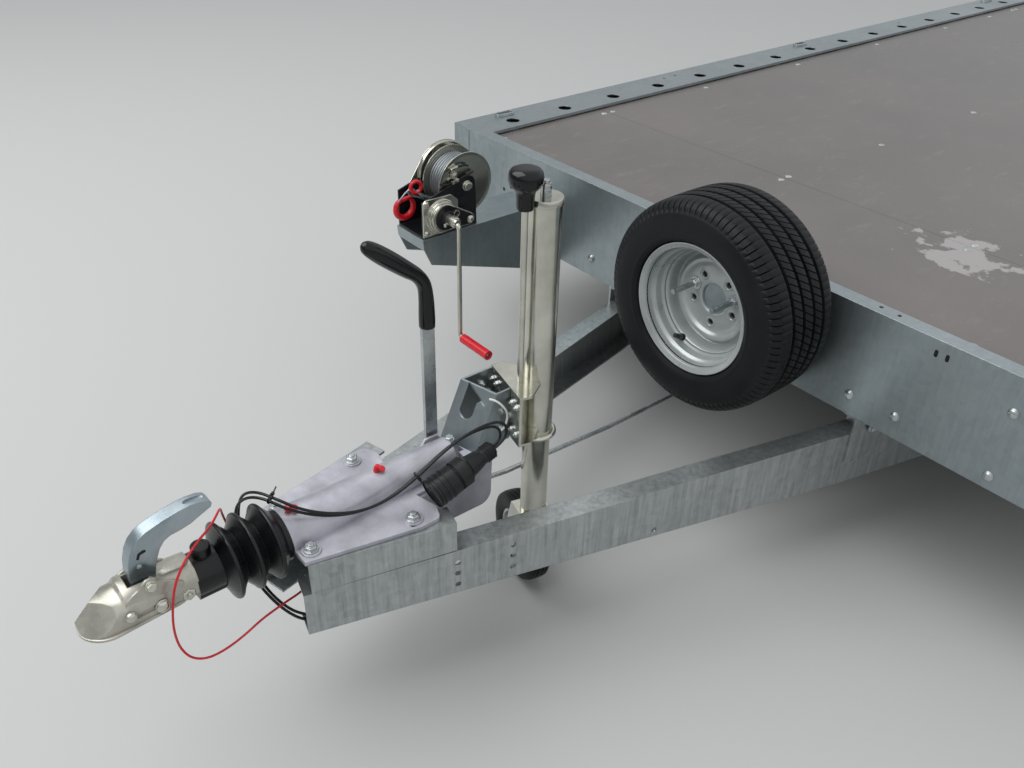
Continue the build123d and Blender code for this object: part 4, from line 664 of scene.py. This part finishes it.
def loft(form, sections):
    """Join closed loops of points, each in metres, and close both ends."""
    loops = []
    for section in sections:
        verts = [form.verts.new(point) for point in section]
        loops.append([form.edges.new(pair) for pair in zip(verts, verts[1:] + verts[:1])])
    for first, second in zip(loops, loops[1:]):
        bmesh.ops.bridge_loops(form, edges=first + second)
    for loop in (loops[0], loops[-1]):
        bmesh.ops.contextual_create(form, geom=loop)


def hull_outline(*circles, steps=40):
    """The outline round circles in a plane, each (x, y, radius)."""
    outline = []
    for step in range(steps):
        turn = 2 * math.pi * step / steps
        dx, dy = math.cos(turn), math.sin(turn)
        x, y, radius = max(circles, key=lambda c: c[0] * dx + c[1] * dy + c[2])
        outline.append((x + radius * dx, y + radius * dy))
    return outline


def coupling_head():
    """The coupling head: a lofted hull whose two flats meet in a ridge down its nose."""
    foot = 404.0
    nose_y, nose_length, nose_half_width = -1428.0, 40.5, 41.0
    # Sections across the head: place, half width at the foot, half width and height of the
    # top. The nose is round in plan
    rows = []
    for angle in (83, 74, 62, 48, 32, 16):
        turn = math.radians(angle)
        half = nose_half_width * math.cos(turn)
        rows.append((nose_y - nose_length * math.sin(turn), half, 0.64 * half,
                     foot + 48 * math.cos(turn) ** 0.3))
    rows += [(nose_y, 41, 26, 452), (-1405, 41, 26, 453.5), (-1402.5, 41, 26, 455),
             (-1399, 40.8, 26.5, 460.5), (-1396, 40.6, 26.8, 461.5), (-1352, 38.6, 26.6, 461),
             (-1345, 38, 26, 455), (-1320, 36.6, 25.5, 453), (-1288, 35.4, 25, 451)]
    form = bmesh.new()
    sections = []
    for y, half, top_half, top in rows:
        rise = top - foot
        right = [(half * 0.97, foot), (half, foot + 0.07 * rise),
                 (half * 0.985, foot + 0.34 * rise), (half * 0.94, foot + 0.6 * rise),
                 (top_half + (half - top_half) * 0.34, foot + 0.8 * rise),
                 (top_half, foot + 0.885 * rise), (top_half * 0.5, foot + 0.975 * rise),
                 (0, top)]
        left = [(-x, z) for x, z in reversed(right[:-1])]
        sections.append([spot(x, y, z) for x, z in right + left])
    loft(form, sections)
    for side in (1, -1):
        bmesh.ops.bisect_plane(
            form, geom=form.verts[:] + form.edges[:] + form.faces[:], dist=1e-5,
            plane_co=spot(0, -1463, 431), plane_no=(side * 0.626, -0.551, 0.551),
            clear_outer=True)
        bmesh.ops.holes_fill(form, edges=[edge for edge in form.edges if edge.is_boundary])
    head = finished("coupling_body", form, "zinc_nickel", angle=24)
    slot = bmesh.new()
    bmesh.ops.create_cube(slot, size=1.0, matrix=Matrix.Translation(spot(0, -1371, 470))
                          @ Matrix.Diagonal((0.031, 0.034, 0.1, 1)))
    bmesh.ops.create_cube(slot, size=1.0, matrix=Matrix.Translation(spot(41, -1368, 419))
                          @ Matrix.Diagonal((0.010, 0.042, 0.009, 1)))
    cut(head, slot)
    round_over(head, 1.3)
    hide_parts("coupling_head")


def coupling_flange():
    """The head's foot flange, the ears of the lever's pivot and the neck's panel."""
    form = bmesh.new()
    slab(form, hull_outline((0, -1424, 45.5), (0, -1330, 39)), stand(spot(0, 0, 401)), 4, 0.8)
    for side in (1, -1):
        ear = ((-1402, 438), (-1399, 449), (-1388, 457), (-1379, 462), (-1372, 469),
               (-1365, 474.5), (-1357, 475.5), (-1350, 471), (-1344, 463), (-1336, 458),
               (-1324, 452), (-1310, 441), (-1312, 434))
        slab(form, ear, facing(side * (31 if side > 0 else 26.5), 0, 0), 4.5, 1.1)
    slab(form, hull_outline((0, -1330, 15), (0, -1304, 15)), stand(spot(0, 0, 451.5)), 2.2, 0.9)
    finished("coupling_flange", form, "zinc_nickel")


def coupling_rivets():
    """Rivets and clamp nuts on both sides of the coupling head."""
    form = bmesh.new()
    for side in (1, -1):
        for x, y, z, size, dome in ((35.2, -1359, 462, 9, False), (40, -1398, 424, 9, True),
                                    (38.6, -1350, 417, 11, True)):
            bolt(form, facing(side * x, y, z, (side, 0, 0)), size, dome=dome)
        clamp = facing(side * 35.4, -1307, 411, (side, 0, 0))
        hexagon(form, clamp, 20, 0, 3)
        disc(form, clamp, 4.6, 3, 6)
    finished("coupling_rivets", form, "zinc_nickel", look="zinc_yellow")


def hand_lever():
    """The hand lever: a pressed channel, its back upwards, with a groove in its tip."""
    side_view = ((-1381, 452), (-1382, 471), (-1379, 493), (-1373, 513), (-1365, 527),
                 (-1354, 537.5), (-1342, 543.5), (-1316, 551.5), (-1290, 557), (-1270, 559),
                 (-1252, 557.5), (-1242, 553.5), (-1237.5, 547), (-1240, 540.5), (-1250, 536),
                 (-1262, 531), (-1274, 525), (-1291, 521), (-1308, 519), (-1319, 514),
                 (-1328, 503), (-1335, 487), (-1340, 470), (-1343.5, 452), (-1362, 447))
    form = bmesh.new()
    slab(form, side_view, facing(-12.5, 0, 0), 25)
    handle = finished("coupling_lever", form, "zinc", look="zinc_blue")
    hollow = bmesh.new()
    under = ((-1372, 452), (-1375, 470), (-1372, 490), (-1366, 506), (-1356, 520),
             (-1340, 531), (-1322, 538), (-1300, 543), (-1280, 546), (-1264, 546),
             (-1264, 500), (-1322, 480), (-1330, 430), (-1372, 430))
    slab(hollow, under, facing(-9.5, 0, 0), 19)
    slab(hollow, hull_outline((0, -1272, 5), (0, -1251, 5), steps=24),
         stand(spot(0, 0, 554.5)), 20)
    cut(handle, hollow)
    round_over(handle, 3.0)
    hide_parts("coupling_handle")
    form = bmesh.new()
    for side in (1, -1):
        bolt(form, facing(side * 12.3, -1363, 486, (side, 0, 0)), 4.4, dome=True)
    finished("lever_rivets", form, "zinc", look="zinc_blue")
    # A thin black sheet on the lever's side: painted shade inside its notch
    form = bmesh.new()
    slab(form, ((-1361, 499), (-1358, 507), (-1349, 508.5), (-1348.5, 513), (-1353, 514),
                (-1361, 511), (-1365, 501)), facing(12.45, 0, 0), 0.25)
    finished("lever_notch_shade", form, "black_plastic")


def breather_cap():
    """Recessed cap of the bellows' breather."""
    form = bmesh.new()
    spun(form, ((15.6, 0), (15.6, 14), (14.2, 15.5), (11, 15.5), (10, 14.4), (10, 9),
                (0, 9), (0, 0)), stand(spot(0, -1266, 450.5)), 32)
    finished("bellows_cap", form, "black_rubber")


def machine_bolts():
    """Bolts of the front panel, the overrun housing and the jockey bracket."""
    form = bmesh.new()
    for side in (1, -1):
        for x, z in ((342, 417.5), (448, 420), (656, 545), (653, 399)):
            bolt(form, facing(side * x, 0, z, FORWARD), 10, dome=True)
    for side in (-1, 1):
        for x, y in ((63, -1108), (102, -931)):
            bolt(form, stand(spot(side * x, y, 411.6)), 12, stub=4)
    bolt(form, stand(spot(0, -780, 452)), 9)
    # Bolts through the jockey bracket's walls and the clamp's back plate
    axis = spot(STAY_X, STAY_Y, 0)
    for z in (459, 519):
        for u in (-54, -34, 34, 54):
            place = axis + BEAM_ACROSS * u * MM - BEAM_RUN * 69 * MM + Vector((0, 0, z * MM))
            bolt(form, stand(place, -BEAM_RUN, UP), 6.5, stub=3)
    for x, y, z, size, stub in ((-36.6, -676, 516, 7, 4), (-36.6, -660, 492, 7, 4),
                                (41, -690, 502, 6.5, 2), (41, -668, 484, 6.5, 2),
                                (41, -690, 462, 6.5, 2)):
        bolt(form, facing(x, y, z), size, stub=stub)
    finished("machine_bolts", form, "zinc")


def bracket_bolts():
    """Bolts on the brackets under the panel."""
    form = bmesh.new()
    for side in (1, -1):
        outward = Vector((side * BEAM_ACROSS.x, BEAM_ACROSS.y, 0))
        run = Vector((side * BEAM_RUN.x, BEAM_RUN.y, 0))
        start = spot(side * PANEL_HALF_GAP, 0, 0) + outward * 12.3 * MM
        for step, z in ((48, 341), (90, 336)):
            bolt(form, stand(start + run * step * MM + Vector((0, 0, z * MM)), outward, UP), 11,
                 stub=3)
    finished("bracket_bolts", form, "zinc")


def deck_screws():
    """Countersunk screws of the deck boards."""
    form = bmesh.new()
    screws = {(-889, 57), (-883, 441), (-882, 476), (-885, 907), (-218, 443), (-220, 476),
              (-215, 895), (529, 54), (-419, 52), (-885, 1400), (-215, 1400), (-885, 1894),
              (-215, 1894), (-877, 2372), (-215, 2372), (877, 2372), (-878, 2733),
              (-215, 2733), (877, 2733), (52, 54), (860, 52)}
    screws.update((x, y) for y in (443, 476, 907, 1400, 1894, 2372, 2733) for x in (300, 740))
    screws.update((x, y) for y in (2942, 2976, 3340, 3720, 4100, 4415)
                  for x in (-885, -420, -215, 300, 740, 885))
    for x, y in sorted(screws):
        spun(form, ((0, -0.2), (9.5, -0.2), (9, 0.7), (5.5, 1.7), (0, 2.1)),
             stand(spot(x, y, DECK_Z)), 16)
    finished("deck_screws", form, "zinc")


def small_holes():
    """Small holes and the corners' seams, as thin dark patches; in the holes the dark is painted
    shade.
    """
    form = bmesh.new()
    skin = facing(0, -0.25, 0, FORWARD)
    for x, z in ((490, 591), (513, 591)):
        slab(form, hull_outline((x, z - 4, 3.8), (x, z + 4, 3.8), steps=20), skin, 0.2)
    for x in (-980, 980):
        slab(form, ((x - 0.7, 306), (x + 0.7, 306), (x + 0.7, 616), (x - 0.7, 616)), skin, 0.2)
    holes = [(facing(x, 0, z, FORWARD), 5, 16) for x, z in ((-332, 490), (-816, 492), (-785, 508))]
    holes += [(stand(spot(x, y, RAIL_Z)), 4.2, 16)
              for x, y in ((349, 24), (391, 22), (-1011, 838), (-1013, 893), (-1011, 2238),
                           (1011, 838), (1013, 893))]
    holes += [(stand(spot(x, y, z)), radius, 18)
              for x, y, z, radius in ((114.5, -893.2, 400.3, 7), (-106, -890, 400.3, 7),
                                      (112, -938, 408.6, 6.5))]
    # Each hole is a thin black disc on the surface: painted shade for the hole's inside
    for matrix, radius, steps in holes:
        spun(form, ((0, 0), (radius, 0), (radius, HOLE_SHADE_THICKNESS), (0, HOLE_SHADE_THICKNESS)), matrix, steps)
    finished("small_holes", form, "black_plastic")


def grease_caps():
    """Red caps of the grease nipples."""
    form = bmesh.new()
    for y, lean in ((-1110, -0.35), (-938.5, 0.2)):
        matrix = stand(spot(0, y, 454), (0.15, lean, 1))
        spun(form, ((0, 0), (6, 0), (6.4, 2), (6.4, 9), (5, 13), (0, 14)), matrix, 20)
        disc(form, stand(spot(8, y + 7, 462), (0.6, 0.3, 1)), 6.2, -1.6, 1.6, 18)
    finished("grease_caps", form, "red_plastic")


def spare_rim():
    """The spare wheel's pressed rim, with its holes, their raised rings, and dark discs inside the
    holes that paint the shade behind them.
    """
    low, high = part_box("spare_tyre")
    matrix = stand((low + high) / 2, FORWARD, UP)
    face = ((33, 2), (33, 7), (34.5, 8.6), (37, 9.4), (40, 9.2), (43, 8), (70, 8),
            (74, 8.8), (77.5, 10.5), (80.5, 14), (83, 16.4), (87, 17.4), (91.5, 16.6),
            (94.5, 13), (97, 8), (100, 5), (102.5, 4.4), (105, 6), (106.6, 10), (107.5, 16),
            (108.5, 26), (110.5, 32), (114.5, 37), (118.5, 40.5), (120, 45), (120.6, 53),
            (122, 57.5), (125.5, 60.5), (128.4, 64), (129.4, 70), (130, 78), (132, 82.4),
            (136, 85), (139.5, 86), (142, 87.6), (144, 87.6), (144.6, 86), (144.2, 83.6))
    back = ((142, 82.6), (134.5, 80), (133.2, 77), (133, 60), (128, 56), (124.4, 50),
            (124, 44), (113.5, 36), (112.5, 28), (112.5, -26), (121, -34), (128.6, -40),
            (129, -77), (133, -80.5), (144, -83.5), (144.4, -87.6), (141, -87.6),
            (138, -84.5), (130.5, -82), (124.6, -76), (124.2, -44), (108, -28), (106.6, -6),
            (102.5, -0.8), (98, -0.4), (93, 9), (90, 12), (84, 12), (80, 8), (76, 3.4),
            (70, 2))
    form = bmesh.new()
    spun(form, face + back, matrix, 112, True)
    rim = finished("spare_disc", form, "rim", angle=60)
    holes = bmesh.new()
    pads = bmesh.new()
    shade = bmesh.new()
    for hole in range(5):
        turn = math.radians(18 + 72 * hole)
        place = matrix @ Matrix.Translation((
            BOLT_CIRCLE_RADIUS * math.sin(turn + math.pi / 2),
            BOLT_CIRCLE_RADIUS * math.cos(turn + math.pi / 2), 0))
        spun(holes, ((0, -20), (7, -20), (7, 40), (0, 40)), place, 24)
        spun(pads, ((8.2, 7), (8.2, 8.6), (9.4, 9.6), (12, 8.9), (14.5, 7.6), (14.5, 7)), place,
             24, True)
        # Dark discs a little inside each hole: painted shade where the bracket behind lies in
        # shadow
        spun(shade, ((0, 1.8), (6.9, 1.8), (6.9, 3), (0, 3)), place, 24)
    cut(rim, holes)
    finished("spare_hole_painted_shade", shade, "black_plastic")
    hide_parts("spare_rim")
    finished("spare_hole_rings", pads, "rim")


def spare_nuts():
    """The two long studs of the spare wheel, each with its washer and nut."""
    form = bmesh.new()
    for angle in (18, 162):
        turn = math.radians(angle)
        place = facing(SPARE_X + BOLT_CIRCLE_RADIUS * math.cos(turn), SPARE_NUT_Y,
                       SPARE_Z + BOLT_CIRCLE_RADIUS * math.sin(turn), FORWARD)
        disc(form, place, 15, 0.2, 2.6, 28)
        hexagon(form, place, 19, 2.6, 12)
        # The stud's thread
        thread = [(0, 10)]
        for ring in range(24):
            thread += [(6.3, 12 + ring * 2.4), (5.6, 13.2 + ring * 2.4)]
        spun(form, thread + [(5, 71), (0, 71)], place, 20)
    finished("spare_nuts", form, "zinc")


def spare_valve():
    """The spare wheel's rubber valve."""
    turn = math.radians(246)
    across, up = math.cos(turn), math.sin(turn)
    rest = facing(SPARE_X + VALVE_CIRCLE_RADIUS * across, SPARE_NUT_Y - 36,
                  SPARE_Z + VALVE_CIRCLE_RADIUS * up, (-0.55 * across, -0.83, -0.55 * up))
    form = bmesh.new()
    spun(form, ((0, -12), (8.4, -12), (8.4, -6), (6.2, -3), (5.6, 8), (5.8, 20), (4.4, 21),
                (4.4, 23), (5.2, 24), (5.2, 36), (4, 38), (0, 38)), rest, 20)
    finished("spare_valve", form, "black_rubber")


def winch_rope():
    """The winch's wound rope, the end that runs to its hook, and the end on the drum."""
    low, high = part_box("winch_rope")
    turns, wound_radius, rope_radius = 7, 60.4, 3.6
    first, last = low.x / MM + 4, high.x / MM - 4
    form = bmesh.new()
    section = [(wound_radius + rope_radius * math.cos(a * math.pi / 4),
                rope_radius * math.sin(a * math.pi / 4)) for a in range(8)]
    for turn in range(turns):
        x = first + (last - first) * turn / (turns - 1)
        spun(form, section, facing(x, DRUM_Y, DRUM_Z), 72, True)
    # The end that runs to the hook's eye
    rod(form, [(*place, 2.7) for place in (
        (-676, -318, 588), (-678, -345, 596), (-682, -372, 612), (-684, -390, 626),
        (-688, -399, 630), (-690, -404, 622), (-688, -396, 610), (-682, -376, 604),
        (-678, -352, 590), (-676, -330, 582))])
    rope = finished("wound_rope", form, "rope")
    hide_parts("winch_rope")
    # A black core under the turns, painted shade in the gaps between them, and the rope's end
    # under two saddles on the near flange
    form = bmesh.new()
    spun(form, ((0, first), (58, first), (58, last), (0, last)), facing(0, DRUM_Y, DRUM_Z), 48)
    for end in (((-634, -246, 656), (-631, -262, 654), (-630.5, -290, 647),
                 (-630.5, -314, 642), (-630.5, -332, 640), (-633, -342, 642)),
                ((-634, -262, 674), (-631, -270, 679), (-630.5, -288, 681),
                 (-630.5, -310, 676), (-633, -322, 670))):
        rod(form, [(*place, 2.6) for place in end])
    finished("rope_shade_core_and_ends", form, "black_rubber")


def rope_clamp():
    """Two saddles that hold the rope's end on the near flange."""
    form = bmesh.new()
    for y, z in ((-306, 677), (-303, 644)):
        slab(form, ((y - 10, z - 6), (y + 10, z - 2), (y + 10, z + 6), (y - 10, z + 2)),
             facing(-636, 0, 0), 9, 1.6)
    bolt(form, facing(-636, -305, 660), 9, stub=4)
    finished("rope_clamp", form, "zinc", look="zinc_yellow")


def winch_guard():
    """Round guard behind the drum, with its bolt."""
    form = bmesh.new()
    slab(form, hull_outline((DRUM_Y + 4, DRUM_Z + 4, 79), (GEAR_Y - 22, GEAR_Z - 14, 34),
                            steps=64), facing(-739, 0, 0), 3.6, 1.2)
    spun(form, ((74, 3), (79, 3), (79.5, 8), (78, 14), (75.5, 14.5), (74, 12)),
         facing(-739, DRUM_Y + 4, DRUM_Z + 4), 72, True)
    bolt(form, facing(-735.4, -302, 691), 9, dome=True)
    finished("winch_guard", form, "zinc", look="zinc_yellow")


def winch_gear():
    """Square plate, stepped gear housing, teardrop plate and the crank's socket."""
    cheek, rim, plate, socket = -628, -612, -607, -602
    form = bmesh.new()
    slab(form, ((-404, 522), (-322, 522), (-300, 540), (-300, 600), (-322, 618),
                (-396, 618), (-404, 610)), facing(cheek, 0, 0), 4, 1.2)
    for y, z in ((-395, 609), (-395, 532), (-318, 532)):
        bolt(form, facing(cheek + 4, y, z), 6, dome=True)
    spun(form, ((0, 0), (44, 0), (44, 4), (42.5, 5.2), (40.5, 5.2), (40, 6), (40, 10),
                (38.5, 11.5), (36.5, 11.5), (36, 12.5), (36, 17), (34.8, 18.3), (0, 18.3)),
         facing(cheek + 3.4, GEAR_Y, GEAR_Z), 64)
    gear = finished("gear_housing", form, "zinc", look="zinc_yellow")
    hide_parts("winch_gear_cover")
    form = bmesh.new()
    slab(form, hull_outline((GEAR_Y + 3, GEAR_Z + 1, 34), (-278, 549, 16), steps=56),
         facing(rim, 0, 0), 5, 1.4)
    spun(form, ((6.5, 0), (9.5, 0), (9.5, 4), (6.5, 4)), facing(-605.5, -320, 574), 28, True)
    finished("gear_rim", form, "zinc", look="zinc_yellow")
    form = bmesh.new()
    slab(form, hull_outline((GEAR_Y + 3, GEAR_Z + 1, 31), (-278, 549, 13), steps=56),
         facing(plate, 0, 0), 1.6)
    spun(form, ((0, 1.4), (19, 1.4), (19, 4.4), (17.5, 5.6), (0, 5.6)),
         facing(plate, CRANK_Y, CRANK_Z), 40)
    finished("gear_plate", form, "black_plastic", look="black_paint")
    form = bmesh.new()
    spun(form, ((0, 0), (13.5, 0), (13.5, 30), (12, 32), (10.5, 32), (9.5, 38), (0, 38)),
         facing(socket, CRANK_Y, CRANK_Z), 32)
    bolt(form, facing(-605.4, -276, 548), 9, dome=True)
    bolt(form, facing(cheek, -271, 627), 12)
    bolt(form, facing(-600.5, -356, 553), 5, dome=True)
    rod(form, ((-580, CRANK_Y, 553, 2), (-580, CRANK_Y, 580, 2)), order=2)
    finished("crank_socket", form, "zinc", look="zinc_yellow")


def rope_hooks():
    """The rope's hook, a second hook through its eye, the latch and the thimble."""
    form = bmesh.new()
    large = facing(-700, -408, 579)
    hook = [(-698, -386, 604)]
    for step in range(14):
        turn = math.radians(52 - step * 22)
        place = large @ Vector((-26 * math.cos(turn), 26 * math.sin(turn), 0))
        hook.append((place.x / MM, (place.y - PANEL_Y) / MM, place.z / MM))
    swell = (4.5, 5.5, 6.5, 7, 7.5, 8, 8, 8, 8, 8, 7.5, 7, 6.5, 6, 3)
    rod(form, [(*place, radius) for place, radius in zip(hook, swell)])
    rod(form, [(-672 + 3 * math.sin(turn), -391 + 14 * math.sin(turn),
                637 + 15 * math.cos(turn), 4.6)
               for turn in (math.radians(36 * step) for step in range(10))], cyclic=True)
    red = finished("rope_hooks", form, "red_plastic")
    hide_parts("winch_hook")
    form = bmesh.new()
    rod(form, ((-698, -429, 596, 2.2), (-694, -420, 608, 2.2), (-690, -408, 622, 2.2),
               (-684, -398, 630, 2.6), (-684, -390, 622, 2.6), (-692, -389, 606, 2.2)))
    rod(form, ((-672, -388, 628, 3.4), (-668, -378, 612, 3.4), (-664, -362, 604, 3.4),
               (-668, -350, 600, 3.2), (-674, -340, 594, 3)))
    finished("hook_latch", form, "zinc", look="zinc_blue")


def stay_top():
    """Collar, cap and stub at the top of the jockey stay's outer tube."""
    form = bmesh.new()
    foot = stand(spot(STAY_X, STAY_Y, 0))
    spun(form, ((30.05, 888), (31.6, 889), (31.6, 899), (30.4, 901), (10, 901), (10, 900.2),
                (30.05, 900.2)), foot, 56, True)
    finished("stay_collar", form, "zinc", look="zinc_yellow")
    form = bmesh.new()
    spun(form, ((0, 899), (9.6, 899), (9.6, 921), (8.8, 922), (6.2, 922), (6.2, 929),
                (5.4, 930), (0, 930)), foot, 28)
    disc(form, stand(spot(STAY_X, STAY_Y, 912), (1, 0, 0)), 2.6, -11, 11, 14)
    finished("stay_stub", form, "zinc")


def clamp_knob():
    """The knob that turns the jockey stay's clamp."""
    low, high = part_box("jockey_lock_knob")
    wide = (high.x - low.x) / 2 / MM
    outline = ((0, 0), (0.5, -0.6), (0.8, -3), (0.95, -8), (1, -15), (0.99, -22),
               (0.93, -29), (0.78, -35), (0.62, -39), (0.55, -44), (0.52, -54), (0.51, -68),
               (0.47, -73), (0.3, -74), (0, -74))
    form = bmesh.new()
    spun(form, [(share * wide, drop) for share, drop in outline],
         stand(Vector(((low.x + high.x) / 2, (low.y + high.y) / 2, high.z))), 48)
    knob = finished("clamp_knob", form, "black_plastic", look="black_grip", angle=60)
    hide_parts("jockey_lock_knob")


def handbrake_grip():
    """The hand brake's dipped grip, bent back over its lever."""
    form = bmesh.new()
    rod(form, [(-65, *place) for place in (
        (-777, 664.3, 14.6), (-777, 664.8, 15.4), (-777, 690, 15.4), (-777, 722, 14),
        (-780, 750, 12.8), (-795, 772, 13.2), (-816, 789, 15.4), (-838, 807.5, 16.4),
        (-860, 825.5, 16.4), (-877, 839.5, 15.4), (-888, 848.5, 13), (-894.5, 853.8, 9),
        (-897.5, 856.2, 3), (-897.8, 856.5, 0.4))])
    grip = finished("dipped_grip", form, "black_plastic", look="black_grip", angle=60)
    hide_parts("handbrake_grip")


def plug_ribs():
    """Ribs and cable nut of the plug, along its own axis."""
    start, end = Vector((82, -875, 424)), Vector((82, -741, 464))
    form = bmesh.new()
    matrix = stand(spot(*start), end - start, (1, 0, 0))
    for low, radius in ((-2, 29), (8, 29.2), (18, 29.2), (28, 29.2)):
        spun(form, ((27, low), (radius, low + 0.6), (radius, low + 3.4), (27, low + 4)),
             matrix, 48, True)
    for low in (118, 123, 128, 133):
        spun(form, ((14, low), (17.2, low + 0.8), (17.2, low + 2.8), (14, low + 3.6)), matrix,
             32, True)
    finished("plug_ribs", form, "black_plastic")


def cable_ties():
    """Black ties round the two leads, each with its head and tail, and a white one."""
    form = bmesh.new()
    for middle, along, radius in (((65, -895, 463), (0.02, -0.9, -0.42), 7.6),
                                  ((-9, -1136, 488), (-0.75, -0.62, 0.25), 8.2),
                                  ((-34, -1173, 316), (0.7, 0.15, -0.7), 8.4)):
        matrix = stand(spot(*middle), along)
        spun(form, ((radius, -1.6), (radius + 1.2, -1.6), (radius + 1.2, 1.6), (radius, 1.6)),
             matrix, 24, True)
        head = matrix @ Matrix.Translation((0, radius + 2.4, 0))
        slab(form, ((-2.6, -2), (2.6, -2), (2.6, 2.4), (-2.6, 2.4)),
             head @ Matrix.Translation((0, 0, -2.6)), 5.2, 0.5)
        slab(form, ((-0.6, 2), (0.6, 2), (3.6, 13), (2.6, 13.4)),
             head @ Matrix.Translation((0, 0, -1.2)), 2.4)
    finished("black_ties", form, "black_plastic")
    form = bmesh.new()
    rod(form, ((38, -716, 537, 2.2), (45, -707, 535, 2.2), (50, -691, 516, 2.2),
               (50.5, -682, 497, 2.2), (50, -684, 478, 2.2), (49, -690, 465, 2.2),
               (44, -697, 458, 2.2)))
    finished("white_tie", form, "plate_blank", look="tie_white")


class TRAILER_OT_coupling(bpy.types.Operator):
    """Press the coupling head, its flange, ears, rivets and lever, and cap the bellows"""
    bl_idname = "trailer.coupling"
    bl_label = "Coupling"

    def execute(self, context):
        coupling_head()
        coupling_flange()
        coupling_rivets()
        hand_lever()
        breather_cap()
        return {"FINISHED"}


class TRAILER_OT_fasteners(bpy.types.Operator):
    """Fit the bolts, nuts, deck screws, grease caps and small holes"""
    bl_idname = "trailer.fasteners"
    bl_label = "Fasteners"

    def execute(self, context):
        machine_bolts()
        bracket_bolts()
        deck_screws()
        small_holes()
        grease_caps()
        return {"FINISHED"}


class TRAILER_OT_spare(bpy.types.Operator):
    """Spin the spare wheel's rim, with its studs, nuts and valve"""
    bl_idname = "trailer.spare"
    bl_label = "Spare wheel"

    def execute(self, context):
        spare_rim()
        spare_nuts()
        spare_valve()
        return {"FINISHED"}


class TRAILER_OT_winch(bpy.types.Operator):
    """Wind the winch's rope, and dress its gear, guard, hooks and bolts"""
    bl_idname = "trailer.winch"
    bl_label = "Winch"

    def execute(self, context):
        winch_rope()
        rope_clamp()
        winch_guard()
        winch_gear()
        rope_hooks()
        return {"FINISHED"}


class TRAILER_OT_jockey(bpy.types.Operator):
    """Cap the jockey stay, and turn its clamp's knob"""
    bl_idname = "trailer.jockey"
    bl_label = "Jockey stay"

    def execute(self, context):
        stay_top()
        clamp_knob()
        return {"FINISHED"}


class TRAILER_OT_grips(bpy.types.Operator):
    """Dip the hand brake's grip, rib the plug and tie its leads"""
    bl_idname = "trailer.grips"
    bl_label = "Grips and plug"

    def execute(self, context):
        handbrake_grip()
        plug_ribs()
        cable_ties()
        return {"FINISHED"}


class TRAILER_OT_finishes(bpy.types.Operator):
    """Give every carried-over piece its material"""
    bl_idname = "trailer.finishes"
    bl_label = "Finishes"

    def execute(self, context):
        for part in frame["record"]["subparts"]:
            obj = nodes[part["node"]]
            obj.data.materials.clear()
            look = NODE_LOOKS.get(part["node"], part["material_slot"])
            obj.data.materials.append(MATERIALS[look])
        return {"FINISHED"}


class TRAILER_PT_panel(bpy.types.Panel):
    """List the trailer's operators"""
    bl_label = "Trailer"
    bl_space_type = "VIEW_3D"
    bl_region_type = "UI"
    bl_category = "Trailer"

    def draw(self, context):
        for operator in OPERATORS:
            self.layout.operator(operator.bl_idname)


OPERATORS = (TRAILER_OT_stage, TRAILER_OT_cords, TRAILER_OT_finishes, TRAILER_OT_tyres,
             TRAILER_OT_coupling, TRAILER_OT_fasteners, TRAILER_OT_spare, TRAILER_OT_winch,
             TRAILER_OT_jockey, TRAILER_OT_grips)
CLASSES = (TrailerSettings,) + OPERATORS + (TRAILER_PT_panel,)


def register():
    for cls in CLASSES:
        bpy.utils.register_class(cls)
    bpy.types.Scene.trailer_settings = bpy.props.PointerProperty(type=TrailerSettings)


def unregister():
    del bpy.types.Scene.trailer_settings
    for cls in reversed(CLASSES):
        bpy.utils.unregister_class(cls)


def main():
    register()
    for operator in OPERATORS:
        category, name = operator.bl_idname.split(".")
        getattr(getattr(bpy.ops, category), name)()


if __name__ == "__main__":
    main()
